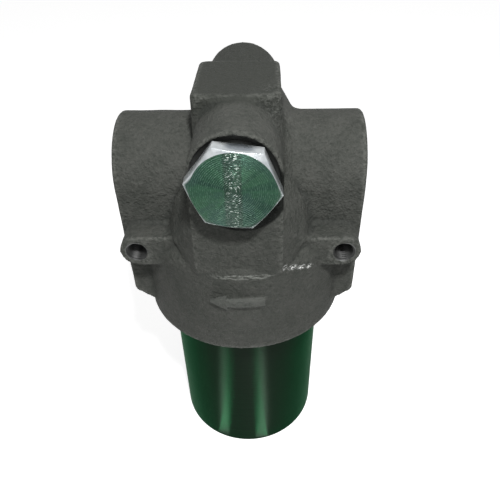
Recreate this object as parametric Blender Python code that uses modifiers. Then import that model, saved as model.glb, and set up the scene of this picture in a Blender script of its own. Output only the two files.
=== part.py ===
"""Hydraulic pressure filter: a cast head with two ports over a screwed steel bowl.

Metres, +Z up. The origin is the centre of the bowl's flat base. Heights of the head, the
element and the valve are local to an empty at the crossing of the port axis and bowl axis.
"""

import math

import bmesh
import bpy
from mathutils import Matrix, Vector

# Running gap left between two pieces that touch on the real part
GAP = 0.0003

# Port bodies of the head, one to each side along X
PORT_HALF_SPAN = 0.071
PORT_BODY_RADIUS = 0.0325
PORT_BODY_DROP = 0.0742
PORT_BODY_TAPER = 0.0098
PORT_EDGE_CHAMFER = 0.0012
PORT_THREAD_RADIUS = 0.0195
PORT_THREAD_DEPTH = 0.024
PORT_LEAD_IN = 0.0018
PORT_SPOT_RADIUS = 0.0285
PORT_SPOT_DEPTH = 0.0006
PASSAGE_RADIUS = 0.0165
PASSAGE_WALL = 0.008
ROOT_FILLET_OUTLET = 0.004
ROOT_FILLET_INLET = 0.011
WEB_FILLET = 0.022
WEB_TOP = 0.002
WEB_FADE = 0.016
WEB_INLAY = 0.004

# Boss along Y, with the closed indicator port at its front
BOSS_RADIUS = 0.024
BOSS_AXIS_HEIGHT = 0.0285
BOSS_FRONT_INSET = 0.00225
BOSS_REAR_REACH = 0.00075
BOSS_EDGE_ROUND = 0.0012
BOSS_FOOT = 0.036
BOSS_FOOT_FLARE = 0.024
BOSS_FOOT_RISE = 0.022
INDICATOR_SPOT_RADIUS = 0.0224
INDICATOR_SPOT_DEPTH = 0.0015
INDICATOR_THREAD_RADIUS = 0.01515
INDICATOR_THREAD_DEPTH = 0.021
INDICATOR_BORE_RADIUS = 0.011
INDICATOR_BORE_DEPTH = 0.038
TAPPING_RADIUS = 0.002

# Flat pad on top of the head
PAD_HALF_WIDTH = 0.0237
PAD_SHIFT = -0.0004
PAD_HALF_DEPTH = 0.0268
PAD_HEIGHT = 0.0543
PAD_CORNER = 0.004
PAD_EDGE = 0.001
PAD_DRAFT = 0.0016

# Round skirt that the bowl screws into
SKIRT_WALL = 0.01405
SKIRT_BOTTOM = 0.09465
SKIRT_SHOULDER = 0.0328
SKIRT_TOP = 0.021
SKIRT_TOP_INSET = 0.00675
SKIRT_EDGE_ROUND = 0.003
SKIRT_SHOULDER_ROUND = 0.012
SKIRT_RIM_CHAMFER = 0.001

# Mounting lugs at the front
LUG_SPACING = 0.1198
LUG_HEIGHT = 0.0302
LUG_RADIUS = 0.0098
LUG_FRONT = 0.0483
LUG_BACK = 0.020
LUG_HOLE_RADIUS = 0.0063
LUG_HOLE_DEPTH = 0.0245
LUG_EDGE_ROUND = 0.0009
LUG_ROOT = 0.020

# Cast flow arrow, pointing from the inlet side to the outlet side
ARROW_HEIGHT = 0.054
ARROW_TIP = 0.0174
ARROW_HEAD = 0.0115
ARROW_TAIL = 0.0147
ARROW_HEAD_HALF = 0.006
ARROW_SHAFT_HALF = 0.0031
ARROW_RELIEF = 0.001

# Bowl
BOWL_LENGTH = 0.1775
BOWL_RADIUS = 0.0522
BOWL_WALL = 0.0087
BOWL_FLOOR = 0.014
BOWL_PILOT_INSET = 0.0022
BOWL_PILOT_LENGTH = 0.018
BOWL_TOP_DEPTH = 0.046
BOWL_BASE_ROUND = 0.0018
BOWL_FLOOR_ROUND = 0.006
BOWL_RIM_CHAMFER = 0.0008
CHAMBER_CEILING = 0.040

# Seal groove of the bowl
GROOVE_BELOW_RIM = 0.005
GROOVE_WIDTH = 0.0058
GROOVE_DEPTH = 0.0028
BACKUP_THICKNESS = 0.0014

# Indicator port plug, a hexagon head screw plug on a bonded seal
HEX_ACROSS_FLATS = 0.041
HEX_HEIGHT = 0.0098
HEX_TURN = math.radians(-7.83)
HEX_FACE_INSET = 0.0003
HEX_CHAMFER_SLOPE = math.tan(math.radians(26))
PLUG_COLLAR_RADIUS = 0.0185
PLUG_COLLAR_HEIGHT = 0.0013
PLUG_SHANK_LENGTH = 0.0185
WASHER_THICKNESS = 0.0020
WASHER_OUTER_RADIUS = 0.0196
WASHER_INNER_RADIUS = 0.0172

# Spigot that the element plugs onto
SPIGOT_WALL = 0.0035
SPIGOT_SOCKET_DEPTH = 0.0117
SPIGOT_REACH = 0.022
SPIGOT_FLANGE_WIDTH = 0.0022
SPIGOT_FLANGE_HEIGHT = 0.0025
O_RING_SECTION = 0.0016

# Filter element
ELEMENT_CLEARANCE = 0.0075
ELEMENT_FLOOR_GAP = 0.0105
ELEMENT_TOP = 0.050
CAP_HUB_WALL = 0.0045
CAP_HUB_HEIGHT = 0.005
CAP_PLATE = 0.002
CAP_LIP = 0.006
CAP_LIP_WALL = 0.0014
CORE_SHARE = 0.46
CORE_WALL = 0.0012
CORE_HOLE_RADIUS = 0.0022
CORE_HOLE_ROWS = 8
CORE_HOLES_PER_ROW = 5
MESH_WALL = 0.0008
PLEATS = 36
PLEAT_WALL = 0.003

# Kidney-shaped inlet passage into the bowl
KIDNEY_WALL = 0.007
KIDNEY_BOWL_INSET = 0.0035
KIDNEY_HALF_ANGLE = math.radians(28)
KIDNEY_TOP = 0.008

# Bypass valve cartridge
VALVE_SHARE = 0.8
VALVE_WALL = 0.006
VALVE_FLANGE_WIDTH = 0.0016
VALVE_FLANGE_HEIGHT = 0.0035
VALVE_BODY_LENGTH = 0.016
VALVE_SEAT_DEPTH = 0.006
VALVE_POCKET_WALL = 0.002
VALVE_POCKET_STEP = 0.0018
VALVE_POCKET_DEPTH = 0.008
POPPET_CLEARANCE = 0.0011
POPPET_OVERLAP = 0.0011
POPPET_HEAD = 0.0032
POPPET_STEM_RADIUS = 0.0022
POPPET_LIFT = 0.005
CAGE_STEP = 0.0012
CAGE_WALL = 0.0012
CAGE_FLANGE_HEIGHT = 0.003
CAGE_LENGTH = 0.0235
CAGE_ROOF = 0.002
CAGE_WINDOW_WIDTH = 0.005
CAGE_WINDOW_HEIGHT = 0.011
CLIP_THICKNESS = 0.0012
CLIP_WIDTH = 0.0014
CLIP_OPENING = 0.005
SPRING_WIRE_RADIUS = 0.0007
SPRING_TURNS = 5.5

# Faceting
ROUND_STEPS = 64
MEDIUM_STEPS = 32
SMALL_STEPS = 24
CORNER_STEPS = 3
SEAL_CORNER_STEPS = 1

# Sizes that follow from the bowl, from the outside in
BOWL_PILOT_RADIUS = BOWL_RADIUS - BOWL_PILOT_INSET
BOWL_BORE = BOWL_RADIUS - BOWL_WALL
SKIRT_RADIUS = BOWL_RADIUS + SKIRT_WALL
SKIRT_TOP_RADIUS = SKIRT_RADIUS - SKIRT_TOP_INSET
BOSS_FRONT = SKIRT_RADIUS - BOSS_FRONT_INSET
BOSS_REAR = SKIRT_RADIUS + BOSS_REAR_REACH
ELEMENT_RADIUS = BOWL_BORE - ELEMENT_CLEARANCE
ELEMENT_LENGTH = BOWL_TOP_DEPTH + BOWL_LENGTH - BOWL_FLOOR - ELEMENT_FLOOR_GAP - ELEMENT_TOP
CORE_RADIUS = ELEMENT_RADIUS * CORE_SHARE
SPIGOT_RADIUS = CORE_RADIUS - CORE_WALL - GAP
SPIGOT_BORE = SPIGOT_RADIUS - SPIGOT_WALL
SPIGOT_FLANGE_RADIUS = SPIGOT_RADIUS + SPIGOT_FLANGE_WIDTH
CAP_HUB_RADIUS = SPIGOT_RADIUS + CAP_HUB_WALL
OUTLET_PASSAGE_END = SPIGOT_BORE + 0.5 * SPIGOT_FLANGE_WIDTH
KIDNEY_INNER_RADIUS = SPIGOT_RADIUS + KIDNEY_WALL
KIDNEY_OUTER_RADIUS = BOWL_BORE - KIDNEY_BOWL_INSET

# Sizes that follow from the spigot and from the valve body beside it
VALVE_BODY_RADIUS = SPIGOT_RADIUS * VALVE_SHARE
VALVE_OFFSET = SPIGOT_RADIUS + VALVE_WALL + VALVE_BODY_RADIUS
VALVE_FLANGE_RADIUS = VALVE_BODY_RADIUS + VALVE_FLANGE_WIDTH
VALVE_POCKET_RADIUS = VALVE_BODY_RADIUS - VALVE_POCKET_WALL
VALVE_GUIDE_RADIUS = VALVE_POCKET_RADIUS - VALVE_POCKET_STEP
POPPET_RADIUS = VALVE_GUIDE_RADIUS - POPPET_CLEARANCE
VALVE_SEAT_RADIUS = POPPET_RADIUS - POPPET_OVERLAP
CAGE_RADIUS = VALVE_POCKET_RADIUS - CAGE_STEP
CAGE_BORE = CAGE_RADIUS - CAGE_WALL
SPRING_RADIUS = (POPPET_STEM_RADIUS + CAGE_BORE) / 2.0

# Places that follow from the sizes above
HEX_FACE_RADIUS = HEX_ACROSS_FLATS / 2.0 - HEX_FACE_INSET
PORT_AXIS_Z = BOWL_TOP_DEPTH + BOWL_LENGTH
BOWL_BASE = -PORT_AXIS_Z
INDICATOR_SEAT = BOSS_FRONT - INDICATOR_SPOT_DEPTH
BOWL_RIM = -BOWL_TOP_DEPTH
PILOT_STEP = BOWL_RIM - BOWL_PILOT_LENGTH
VALVE_BOTTOM = -CHAMBER_CEILING - GAP - VALVE_FLANGE_HEIGHT
VALVE_TOP = -CHAMBER_CEILING - GAP + VALVE_BODY_LENGTH
SEAT_FACE = VALVE_BOTTOM + VALVE_SEAT_DEPTH
POCKET_FLOOR = VALVE_TOP - VALVE_POCKET_DEPTH
CAGE_FOOT = POCKET_FLOOR + GAP
CAGE_TOP = CAGE_FOOT + CAGE_LENGTH
CAGE_ROOF_UNDERSIDE = CAGE_TOP - CAGE_ROOF
POPPET_FOOT = SEAT_FACE + GAP
POPPET_SHOULDER = POPPET_FOOT + POPPET_HEAD
CLIP_FOOT = CAGE_FOOT + CAGE_FLANGE_HEIGHT + GAP
MESH_RADIUS = CORE_RADIUS + GAP + MESH_WALL
MEDIA_INNER = MESH_RADIUS + GAP
MEDIA_OUTER = ELEMENT_RADIUS - CAP_LIP_WALL - GAP
CAP_UNDERSIDE = -ELEMENT_TOP - CAP_HUB_HEIGHT - CAP_PLATE
ELEMENT_BOTTOM = -ELEMENT_TOP - ELEMENT_LENGTH
PACK_TOP = CAP_UNDERSIDE - GAP
PACK_BOTTOM = ELEMENT_BOTTOM + CAP_PLATE + GAP


def remove_old_objects():
    """Empty the scene and drop the collections of an earlier run."""
    for item in list(bpy.data.objects):
        bpy.data.objects.remove(item, do_unlink=True)
    for group in list(bpy.data.collections):
        bpy.data.collections.remove(group)


def new_collection(name):
    """Add a collection under the scene's own one."""
    group = bpy.data.collections.new(name)
    bpy.context.scene.collection.children.link(group)
    return group


def new_material(name, colour, roughness, metallic):
    """Make a Principled material."""
    material = bpy.data.materials.new(name)
    material.use_nodes = True
    shader = material.node_tree.nodes["Principled BSDF"]
    shader.inputs["Base Color"].default_value = (*colour, 1.0)
    shader.inputs["Roughness"].default_value = roughness
    shader.inputs["Metallic"].default_value = metallic
    return material


class Workshop:
    """Holds the two collections and the empties that pieces hang from."""

    def __init__(self):
        self.parts = new_collection("hydraulic_pressure_filter")
        self.cutters = new_collection("cutters")
        self.frame = self.empty("port_axis_crossing", (0.0, 0.0, PORT_AXIS_Z), None)
        self.valve = self.empty("bypass_valve_axis", (-VALVE_OFFSET, 0.0, 0.0), self.frame)

    def empty(self, name, place, parent):
        """Add an empty that carries other pieces."""
        item = bpy.data.objects.new(name, None)
        item.empty_display_size = 0.02
        item.location = place
        item.parent = parent
        self.parts.objects.link(item)
        return item

    def place(self, name, mesh, material, parent=None, turn=(0.0, 0.0, 0.0), at=(0.0, 0.0, 0.0)):
        """Put a mesh in the scene as a named piece, or as a cutter when it has no material."""
        item = bpy.data.objects.new(name, mesh)
        item.parent = parent or self.frame
        item.location = at
        item.rotation_euler = turn
        if material is None:
            item.hide_render = True
            item.display_type = "WIRE"
            self.cutters.objects.link(item)
        else:
            mesh.materials.append(material)
            self.parts.objects.link(item)
        return item


def rounded_path(corners, closed, steps=CORNER_STEPS):
    """Turn corners (x, y, radius) into points, with an arc at each corner that has a radius."""
    points = []
    count = len(corners)
    for index, (x, y, radius) in enumerate(corners):
        corner = Vector((x, y))
        at_end = not closed and index in (0, count - 1)
        if radius <= 0.0 or at_end:
            points.append(corner)
            continue
        back = (Vector(corners[index - 1][:2]) - corner).normalized()
        ahead = (Vector(corners[(index + 1) % count][:2]) - corner).normalized()
        half = back.angle(ahead) / 2.0
        centre = corner + (back + ahead).normalized() * radius / math.sin(half)
        start = corner + back * radius / math.tan(half) - centre
        sweep = math.pi - 2.0 * half
        turn = sweep if ahead.cross(back) > 0.0 else -sweep
        for step in range(steps + 1):
            arm = start.copy()
            arm.rotate(Matrix.Rotation(turn * step / steps, 2))
            points.append(centre + arm)
    kept = [points[0]]
    for point in points[1:]:
        if (point - kept[-1]).length > 1e-7:
            kept.append(point)
    if closed and (kept[0] - kept[-1]).length < 1e-7:
        kept.pop()
    return kept


def arc_points(radius, start, end, steps):
    """Points of an arc about the origin, in a plane."""
    angles = [start + (end - start) * step / steps for step in range(steps + 1)]
    return [Vector((radius * math.cos(angle), radius * math.sin(angle))) for angle in angles]


def turned_mesh(
    shop, name, profile, material, closed=False, steps=MEDIUM_STEPS, corner=CORNER_STEPS, **where
):
    """Revolve a profile of (radius, height, corner radius) about the local Z axis."""
    points = rounded_path(profile, closed, corner)
    mesh = bpy.data.meshes.new(name)
    edges = [(index, index + 1) for index in range(len(points) - 1)]
    if closed:
        edges.append((len(points) - 1, 0))
    mesh.from_pydata([(point.x, 0.0, point.y) for point in points], edges, [])
    item = shop.place(name, mesh, material, **where)
    screw = item.modifiers.new("revolve", "SCREW")
    screw.axis = "Z"
    screw.steps = steps
    screw.render_steps = steps
    screw.use_merge_vertices = True
    screw.merge_threshold = 0.00001
    screw.use_smooth_shade = True
    return item


def tube(shop, name, outer, inner, top, bottom, material, **where):
    """A plain turned tube."""
    profile = [(inner, top, 0), (outer, top, 0), (outer, bottom, 0), (inner, bottom, 0)]
    return turned_mesh(shop, name, profile, material, closed=True, **where)


def rod(shop, name, radius, start, end, segments=MEDIUM_STEPS):
    """A round cutter between two points of the frame."""
    start, end = Vector(start), Vector(end)
    along = end - start
    mesh = bpy.data.meshes.new(name)
    shape = bmesh.new()
    bmesh.ops.create_cone(
        shape, cap_ends=True, segments=segments, radius1=radius, radius2=radius, depth=along.length
    )
    shape.to_mesh(mesh)
    shape.free()
    item = shop.place(name, mesh, None, at=(start + end) / 2.0)
    item.rotation_euler = along.to_track_quat("Z", "Y").to_euler()
    return item


def block(shop, name, size, at, **where):
    """A box-shaped cutter."""
    mesh = bpy.data.meshes.new(name)
    shape = bmesh.new()
    bmesh.ops.create_cube(shape, size=1.0)
    bmesh.ops.scale(shape, vec=size, verts=shape.verts)
    shape.to_mesh(mesh)
    shape.free()
    return shop.place(name, mesh, None, at=at, **where)


def outline_mesh(name, loops, thickness):
    """Fill flat loops, with inner loops as holes, and give them a thickness along local Z."""
    curve = bpy.data.curves.new(name, "CURVE")
    curve.dimensions = "2D"
    curve.fill_mode = "BOTH"
    curve.extrude = thickness / 2.0
    for loop in loops:
        spline = curve.splines.new("POLY")
        spline.points.add(len(loop) - 1)
        for point, place in zip(spline.points, loop):
            point.co = (place.x, place.y, 0.0, 1.0)
        spline.use_cyclic_u = True
    return welded_mesh(name, curve)


def welded_mesh(name, curve):
    """Turn a curve into a closed mesh and remove the curve."""
    item = bpy.data.objects.new(name, curve)
    bpy.context.scene.collection.objects.link(item)
    bpy.context.view_layer.update()
    evaluated = item.evaluated_get(bpy.context.evaluated_depsgraph_get())
    mesh = bpy.data.meshes.new_from_object(evaluated)
    mesh.name = name
    bpy.data.objects.remove(item, do_unlink=True)
    shape = bmesh.new()
    shape.from_mesh(mesh)
    bmesh.ops.remove_doubles(shape, verts=shape.verts, dist=0.000002)
    bmesh.ops.recalc_face_normals(shape, faces=shape.faces)
    shape.to_mesh(mesh)
    shape.free()
    return mesh


def loft_mesh(name, loops):
    """Skin closed loops that have as many points each, and cap both ends."""
    shape = bmesh.new()
    rings = [[shape.verts.new(place) for place in loop] for loop in loops]
    for first, second in zip(rings, rings[1:]):
        count = len(first)
        for index in range(count):
            after = (index + 1) % count
            shape.faces.new((first[index], first[after], second[after], second[index]))
    shape.faces.new(rings[0])
    shape.faces.new(rings[-1])
    bmesh.ops.recalc_face_normals(shape, faces=shape.faces)
    mesh = bpy.data.meshes.new(name)
    shape.to_mesh(mesh)
    shape.free()
    return mesh


def combine(target, tool, operation):
    """Join, cut or intersect a piece with a tool."""
    modifier = target.modifiers.new(f"{operation.lower()} {tool.name}", "BOOLEAN")
    modifier.operation = operation
    modifier.solver = "EXACT"
    modifier.object = tool


def round_edges(item, width, segments=2, limit=50.0):
    """Round the sharp edges of a piece."""
    bevel = item.modifiers.new("edges", "BEVEL")
    bevel.width = width
    bevel.segments = segments
    bevel.limit_method = "ANGLE"
    bevel.angle_limit = math.radians(limit)


def arched_outline(half_width, crown_centre, foot, steps=12):
    """Outline with a round crown over straight sides, as the casting's bodies have."""
    crown = crown_centre + half_width
    corners = [
        (-half_width, -foot, 0),
        (half_width, -foot, 0),
        (half_width, crown, half_width),
        (-half_width, crown, half_width),
    ]
    return rounded_path(corners, closed=True, steps=steps)


def port_body(shop):
    """Both port bodies in one, with chamfered ends and a fillet at the root of the boss."""
    loops = []
    for side, fillet in ((-1.0, ROOT_FILLET_OUTLET), (1.0, ROOT_FILLET_INLET)):
        stations = [
            (PORT_HALF_SPAN, -PORT_EDGE_CHAMFER),
            (PORT_HALF_SPAN - PORT_EDGE_CHAMFER, 0.0),
        ]
        for step in range(CORNER_STEPS + 1):
            angle = math.pi / 2.0 * step / CORNER_STEPS
            place = BOSS_RADIUS + fillet * (1.0 - math.sin(angle))
            stations.append((place, fillet * (1.0 - math.cos(angle))))
        ordered = stations if side < 0.0 else list(reversed(stations))
        for place, grown in ordered:
            outline = arched_outline(PORT_BODY_RADIUS + grown, 0.0, PORT_BODY_DROP + PORT_BODY_TAPER)
            loops.append([(side * place, point.x, point.y) for point in outline])
    body = shop.place("port_body", loft_mesh("port_body", loops), None)
    combine(body, port_side_view(shop), "INTERSECT")
    return body


def port_side_view(shop):
    """The port bodies seen from the front, with the undersides that slope to the skirt."""
    reach = PORT_HALF_SPAN + 0.005
    skirt_side = math.sqrt(SKIRT_RADIUS**2 - PORT_BODY_RADIUS**2)
    grown = PORT_BODY_RADIUS + ROOT_FILLET_INLET + 0.005
    top = grown
    low = -PORT_BODY_DROP - PORT_BODY_TAPER
    slope = PORT_BODY_TAPER / (PORT_HALF_SPAN - skirt_side)
    outer = -PORT_BODY_DROP + slope * (reach - PORT_HALF_SPAN)
    corners = [
        (-reach, top, 0),
        (-reach, outer, 0),
        (-skirt_side, low, 0),
        (skirt_side, low, 0),
        (reach, outer, 0),
        (reach, top, 0),
    ]
    outline = rounded_path(corners, closed=True)
    depth = 2.0 * grown
    mesh = outline_mesh("port_side_view", [outline], depth)
    return shop.place("port_side_view", mesh, None, turn=(math.pi / 2.0, 0.0, 0.0))


def boss(shop, name, sign, reach):
    """One half of the boss along Y, an arched body that stands on the skirt."""
    outline = arched_outline(BOSS_RADIUS, BOSS_AXIS_HEIGHT, BOSS_FOOT)
    mesh = outline_mesh(name, [outline], reach)
    item = shop.place(name, mesh, None, turn=(math.pi / 2.0, 0.0, 0.0), at=(0.0, sign * reach / 2.0, 0.0))
    round_edges(item, BOSS_EDGE_ROUND)
    foot = -SKIRT_SHOULDER - 0.0015
    profile = [
        (0.0, BOSS_AXIS_HEIGHT + 2.0 * BOSS_RADIUS, 0),
        (SKIRT_RADIUS + BOSS_FOOT_FLARE, BOSS_AXIS_HEIGHT + 2.0 * BOSS_RADIUS, 0),
        (SKIRT_RADIUS + BOSS_FOOT_FLARE, foot + BOSS_FOOT_RISE, 0),
        (SKIRT_RADIUS, foot, 0),
        (0.0, foot, 0),
    ]
    combine(item, turned_mesh(shop, f"{name}_foot", profile, None, steps=ROUND_STEPS), "INTERSECT")
    return item


def column_web(shop):
    """Broad fillet between the front column and the inlet side, fading out at the port's crown."""
    foot = -SKIRT_SHOULDER - WEB_INLAY
    slim = ROOT_FILLET_INLET - 2.0 * GAP
    stations = [(WEB_TOP, slim), (WEB_TOP - WEB_FADE, WEB_FILLET), (foot, WEB_FILLET)]
    middle = (slim + WEB_FILLET) / 2.0
    stations.insert(1, (WEB_TOP - WEB_FADE / 3.0, middle))
    loops = []
    inside = BOSS_RADIUS - WEB_INLAY
    behind = -PORT_BODY_RADIUS + WEB_INLAY
    for height, fillet in stations:
        centre = Vector((BOSS_RADIUS + fillet, -PORT_BODY_RADIUS - fillet))
        hollow = [centre + arm for arm in arc_points(fillet, math.pi, math.pi / 2.0, 6)]
        outline = [Vector((inside, centre.y)), *hollow, Vector((centre.x, behind)), Vector((inside, behind))]
        loops.append([(point.x, point.y, height) for point in outline])
    return shop.place("column_web", loft_mesh("column_web", loops), None)


def pad(shop):
    """Tapered tower with the flat pad on top."""
    stations = [
        (0.0, PAD_DRAFT),
        (PAD_HEIGHT - PAD_EDGE, 0.0),
        (PAD_HEIGHT, -PAD_EDGE),
    ]
    loops = []
    for height, grown in stations:
        half_x, half_y = PAD_HALF_WIDTH + grown, PAD_HALF_DEPTH + grown
        corners = [
            (-half_x, -half_y, PAD_CORNER),
            (half_x, -half_y, PAD_CORNER),
            (half_x, half_y, PAD_CORNER),
            (-half_x, half_y, PAD_CORNER),
        ]
        loops.append([(point.x, point.y, height) for point in rounded_path(corners, closed=True)])
    return shop.place("pad", loft_mesh("pad", loops), None, at=(PAD_SHIFT, 0.0, 0.0))


def lug(shop, side):
    """Mounting lug, a bar with a round outer end beside the front of a port body."""
    centre = LUG_SPACING / 2.0
    outer = centre + LUG_RADIUS
    corners = [
        (side * LUG_ROOT, -LUG_HEIGHT + LUG_RADIUS, 0),
        (side * outer, -LUG_HEIGHT + LUG_RADIUS, LUG_RADIUS),
        (side * outer, -LUG_HEIGHT - LUG_RADIUS, LUG_RADIUS),
        (side * LUG_ROOT, -LUG_HEIGHT - LUG_RADIUS, 0),
    ]
    name = "lug_right" if side > 0 else "lug_left"
    mesh = outline_mesh(name, [rounded_path(corners, closed=True, steps=8)], LUG_FRONT - LUG_BACK)
    item = shop.place(
        name, mesh, None, turn=(math.pi / 2.0, 0.0, 0.0), at=(0.0, -(LUG_FRONT + LUG_BACK) / 2.0, 0.0)
    )
    round_edges(item, LUG_EDGE_ROUND)
    return item


def flow_arrow(shop):
    """Raised arrow that follows the round of the skirt."""
    corners = [
        (-ARROW_TIP, 0.0, 0),
        (-ARROW_TIP + ARROW_HEAD, -ARROW_HEAD_HALF, 0),
        (-ARROW_TIP + ARROW_HEAD, -ARROW_SHAFT_HALF, 0),
        (ARROW_TAIL, -ARROW_SHAFT_HALF, 0),
        (ARROW_TAIL, ARROW_SHAFT_HALF, 0),
        (-ARROW_TIP + ARROW_HEAD, ARROW_SHAFT_HALF, 0),
        (-ARROW_TIP + ARROW_HEAD, ARROW_HEAD_HALF, 0),
    ]
    depth = SKIRT_RADIUS * 0.12
    mesh = outline_mesh("flow_arrow", [rounded_path(corners, closed=True)], depth)
    place = (0.0, -SKIRT_RADIUS, -ARROW_HEIGHT)
    item = shop.place("flow_arrow", mesh, None, turn=(math.pi / 2.0, 0.0, 0.0), at=place)
    top, bottom = -ARROW_HEIGHT + 2 * ARROW_HEAD_HALF, -ARROW_HEIGHT - 2 * ARROW_HEAD_HALF
    face = SKIRT_RADIUS + ARROW_RELIEF
    profile = [(0.0, top, 0), (face, top, 0), (face, bottom, 0), (0.0, bottom, 0)]
    drum = turned_mesh(shop, "arrow_face", profile, None, steps=ROUND_STEPS)
    combine(item, drum, "INTERSECT")
    return item


def port_bore(shop, name, side, inner_end):
    """Spot face, lead-in, thread bore and passage of one port, as one turned cutter."""
    face = PORT_HALF_SPAN
    spot = face - PORT_SPOT_DEPTH
    lead = spot - PORT_LEAD_IN
    thread_end = face - PORT_THREAD_DEPTH
    beyond = face + 0.005
    profile = [
        (0.0, beyond, 0),
        (PORT_SPOT_RADIUS, beyond, 0),
        (PORT_SPOT_RADIUS, spot, 0),
        (PORT_THREAD_RADIUS + PORT_LEAD_IN, spot, 0),
        (PORT_THREAD_RADIUS, lead, 0),
        (PORT_THREAD_RADIUS, thread_end, 0),
        (PASSAGE_RADIUS, thread_end, 0),
        (PASSAGE_RADIUS, inner_end, 0),
        (0.0, inner_end, 0),
    ]
    return turned_mesh(shop, name, profile, None, turn=(0.0, side * math.pi / 2.0, 0.0))


def bowl_chamber(shop):
    """Thread bore, seal bore and ceiling above the bowl."""
    thread = BOWL_RADIUS + GAP
    seal = BOWL_PILOT_RADIUS + GAP
    step = PILOT_STEP + GAP
    below = -SKIRT_BOTTOM - 0.005
    profile = [
        (0.0, -CHAMBER_CEILING, 0),
        (seal, -CHAMBER_CEILING, 0.002),
        (seal, step, 0),
        (thread, step - (thread - seal), 0),
        (thread, -SKIRT_BOTTOM + 0.0015, 0),
        (thread + 0.0015, -SKIRT_BOTTOM, 0),
        (thread + 0.0015, below, 0),
        (0.0, below, 0),
    ]
    return turned_mesh(shop, "bowl_chamber", profile, None, steps=ROUND_STEPS)


def kidney(shop):
    """Curved slot that leads the inlet down round the element."""
    outer = arc_points(KIDNEY_OUTER_RADIUS, -KIDNEY_HALF_ANGLE, KIDNEY_HALF_ANGLE, 8)
    inner = arc_points(KIDNEY_INNER_RADIUS, KIDNEY_HALF_ANGLE, -KIDNEY_HALF_ANGLE, 8)
    top, bottom = -KIDNEY_TOP, -CHAMBER_CEILING - 0.004
    mesh = outline_mesh("kidney", [outer + inner], top - bottom)
    return shop.place("kidney", mesh, None, at=(0.0, 0.0, (top + bottom) / 2.0))


def indicator_bore(shop):
    """Threaded port at the front of the boss, with a spot face for the seal."""
    face = BOSS_FRONT
    lead = 0.0012
    profile = [
        (0.0, face + 0.005, 0),
        (INDICATOR_SPOT_RADIUS, face + 0.005, 0),
        (INDICATOR_SPOT_RADIUS, INDICATOR_SEAT, 0),
        (INDICATOR_THREAD_RADIUS + lead, INDICATOR_SEAT, 0),
        (INDICATOR_THREAD_RADIUS, INDICATOR_SEAT - lead, 0),
        (INDICATOR_THREAD_RADIUS, face - INDICATOR_THREAD_DEPTH, 0),
        (INDICATOR_BORE_RADIUS, face - INDICATOR_THREAD_DEPTH, 0),
        (INDICATOR_BORE_RADIUS, face - INDICATOR_BORE_DEPTH, 0),
        (0.0, face - INDICATOR_BORE_DEPTH, 0),
    ]
    return turned_mesh(
        shop, "indicator_bore", profile, None, turn=(math.pi / 2.0, 0.0, 0.0), at=(0.0, 0.0, BOSS_AXIS_HEIGHT)
    )


def filter_head(shop, material):
    """The head casting with all its bores."""
    chamfer = SKIRT_RIM_CHAMFER
    profile = [
        (0.0, -SKIRT_TOP, 0),
        (SKIRT_TOP_RADIUS, -SKIRT_TOP, SKIRT_EDGE_ROUND),
        (SKIRT_RADIUS, -SKIRT_SHOULDER, SKIRT_SHOULDER_ROUND),
        (SKIRT_RADIUS, -SKIRT_BOTTOM + chamfer, 0),
        (SKIRT_RADIUS - chamfer, -SKIRT_BOTTOM, 0),
        (0.0, -SKIRT_BOTTOM, 0),
    ]
    head = turned_mesh(shop, "filter_head", profile, material, steps=ROUND_STEPS)
    shapes = [port_body(shop), column_web(shop), pad(shop)]
    shapes.append(boss(shop, "boss_front", -1.0, BOSS_FRONT))
    shapes.append(boss(shop, "boss_rear", 1.0, BOSS_REAR))
    shapes += [lug(shop, -1.0), lug(shop, 1.0), flow_arrow(shop)]
    for shape in shapes:
        combine(head, shape, "UNION")
    centre = SPIGOT_RADIUS + GAP
    valve = (-VALVE_OFFSET, 0.0, 0.0)
    cuts = [bowl_chamber(shop), kidney(shop), indicator_bore(shop)]
    cuts.append(port_bore(shop, "outlet_bore", -1.0, -OUTLET_PASSAGE_END))
    cuts.append(port_bore(shop, "inlet_bore", 1.0, OUTLET_PASSAGE_END + PASSAGE_WALL))
    socket_top = -CHAMBER_CEILING + SPIGOT_SOCKET_DEPTH + GAP
    cuts.append(rod(shop, "spigot_socket", centre, (0, 0, -CHAMBER_CEILING - 0.001), (0, 0, socket_top)))
    cuts.append(rod(shop, "centre_passage", SPIGOT_BORE, (0, 0, socket_top - 0.001), (0, 0, 0)))
    low, high = -CHAMBER_CEILING - 0.001, -PASSAGE_RADIUS / 2.0
    radius = VALVE_BODY_RADIUS + GAP
    cuts.append(rod(shop, "valve_bore", radius, (valve[0], 0, low), (valve[0], 0, high)))
    tap_start = (0.004, -BOSS_FRONT + INDICATOR_BORE_DEPTH - 0.004, BOSS_AXIS_HEIGHT - 0.004)
    tap_end = (OUTLET_PASSAGE_END + PASSAGE_WALL + 0.006, -0.004, PASSAGE_RADIUS / 2.0)
    cuts.append(rod(shop, "inlet_tapping", TAPPING_RADIUS, tap_start, tap_end, segments=12))
    for side in (-1.0, 1.0):
        x = side * LUG_SPACING / 2.0
        name = "lug_hole_right" if side > 0 else "lug_hole_left"
        start = (x, -LUG_FRONT - 0.003, -LUG_HEIGHT)
        end = (x, -LUG_FRONT + LUG_HOLE_DEPTH, -LUG_HEIGHT)
        cuts.append(rod(shop, name, LUG_HOLE_RADIUS, start, end, segments=32))
    for cut in cuts:
        combine(head, cut, "DIFFERENCE")
    return head


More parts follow.
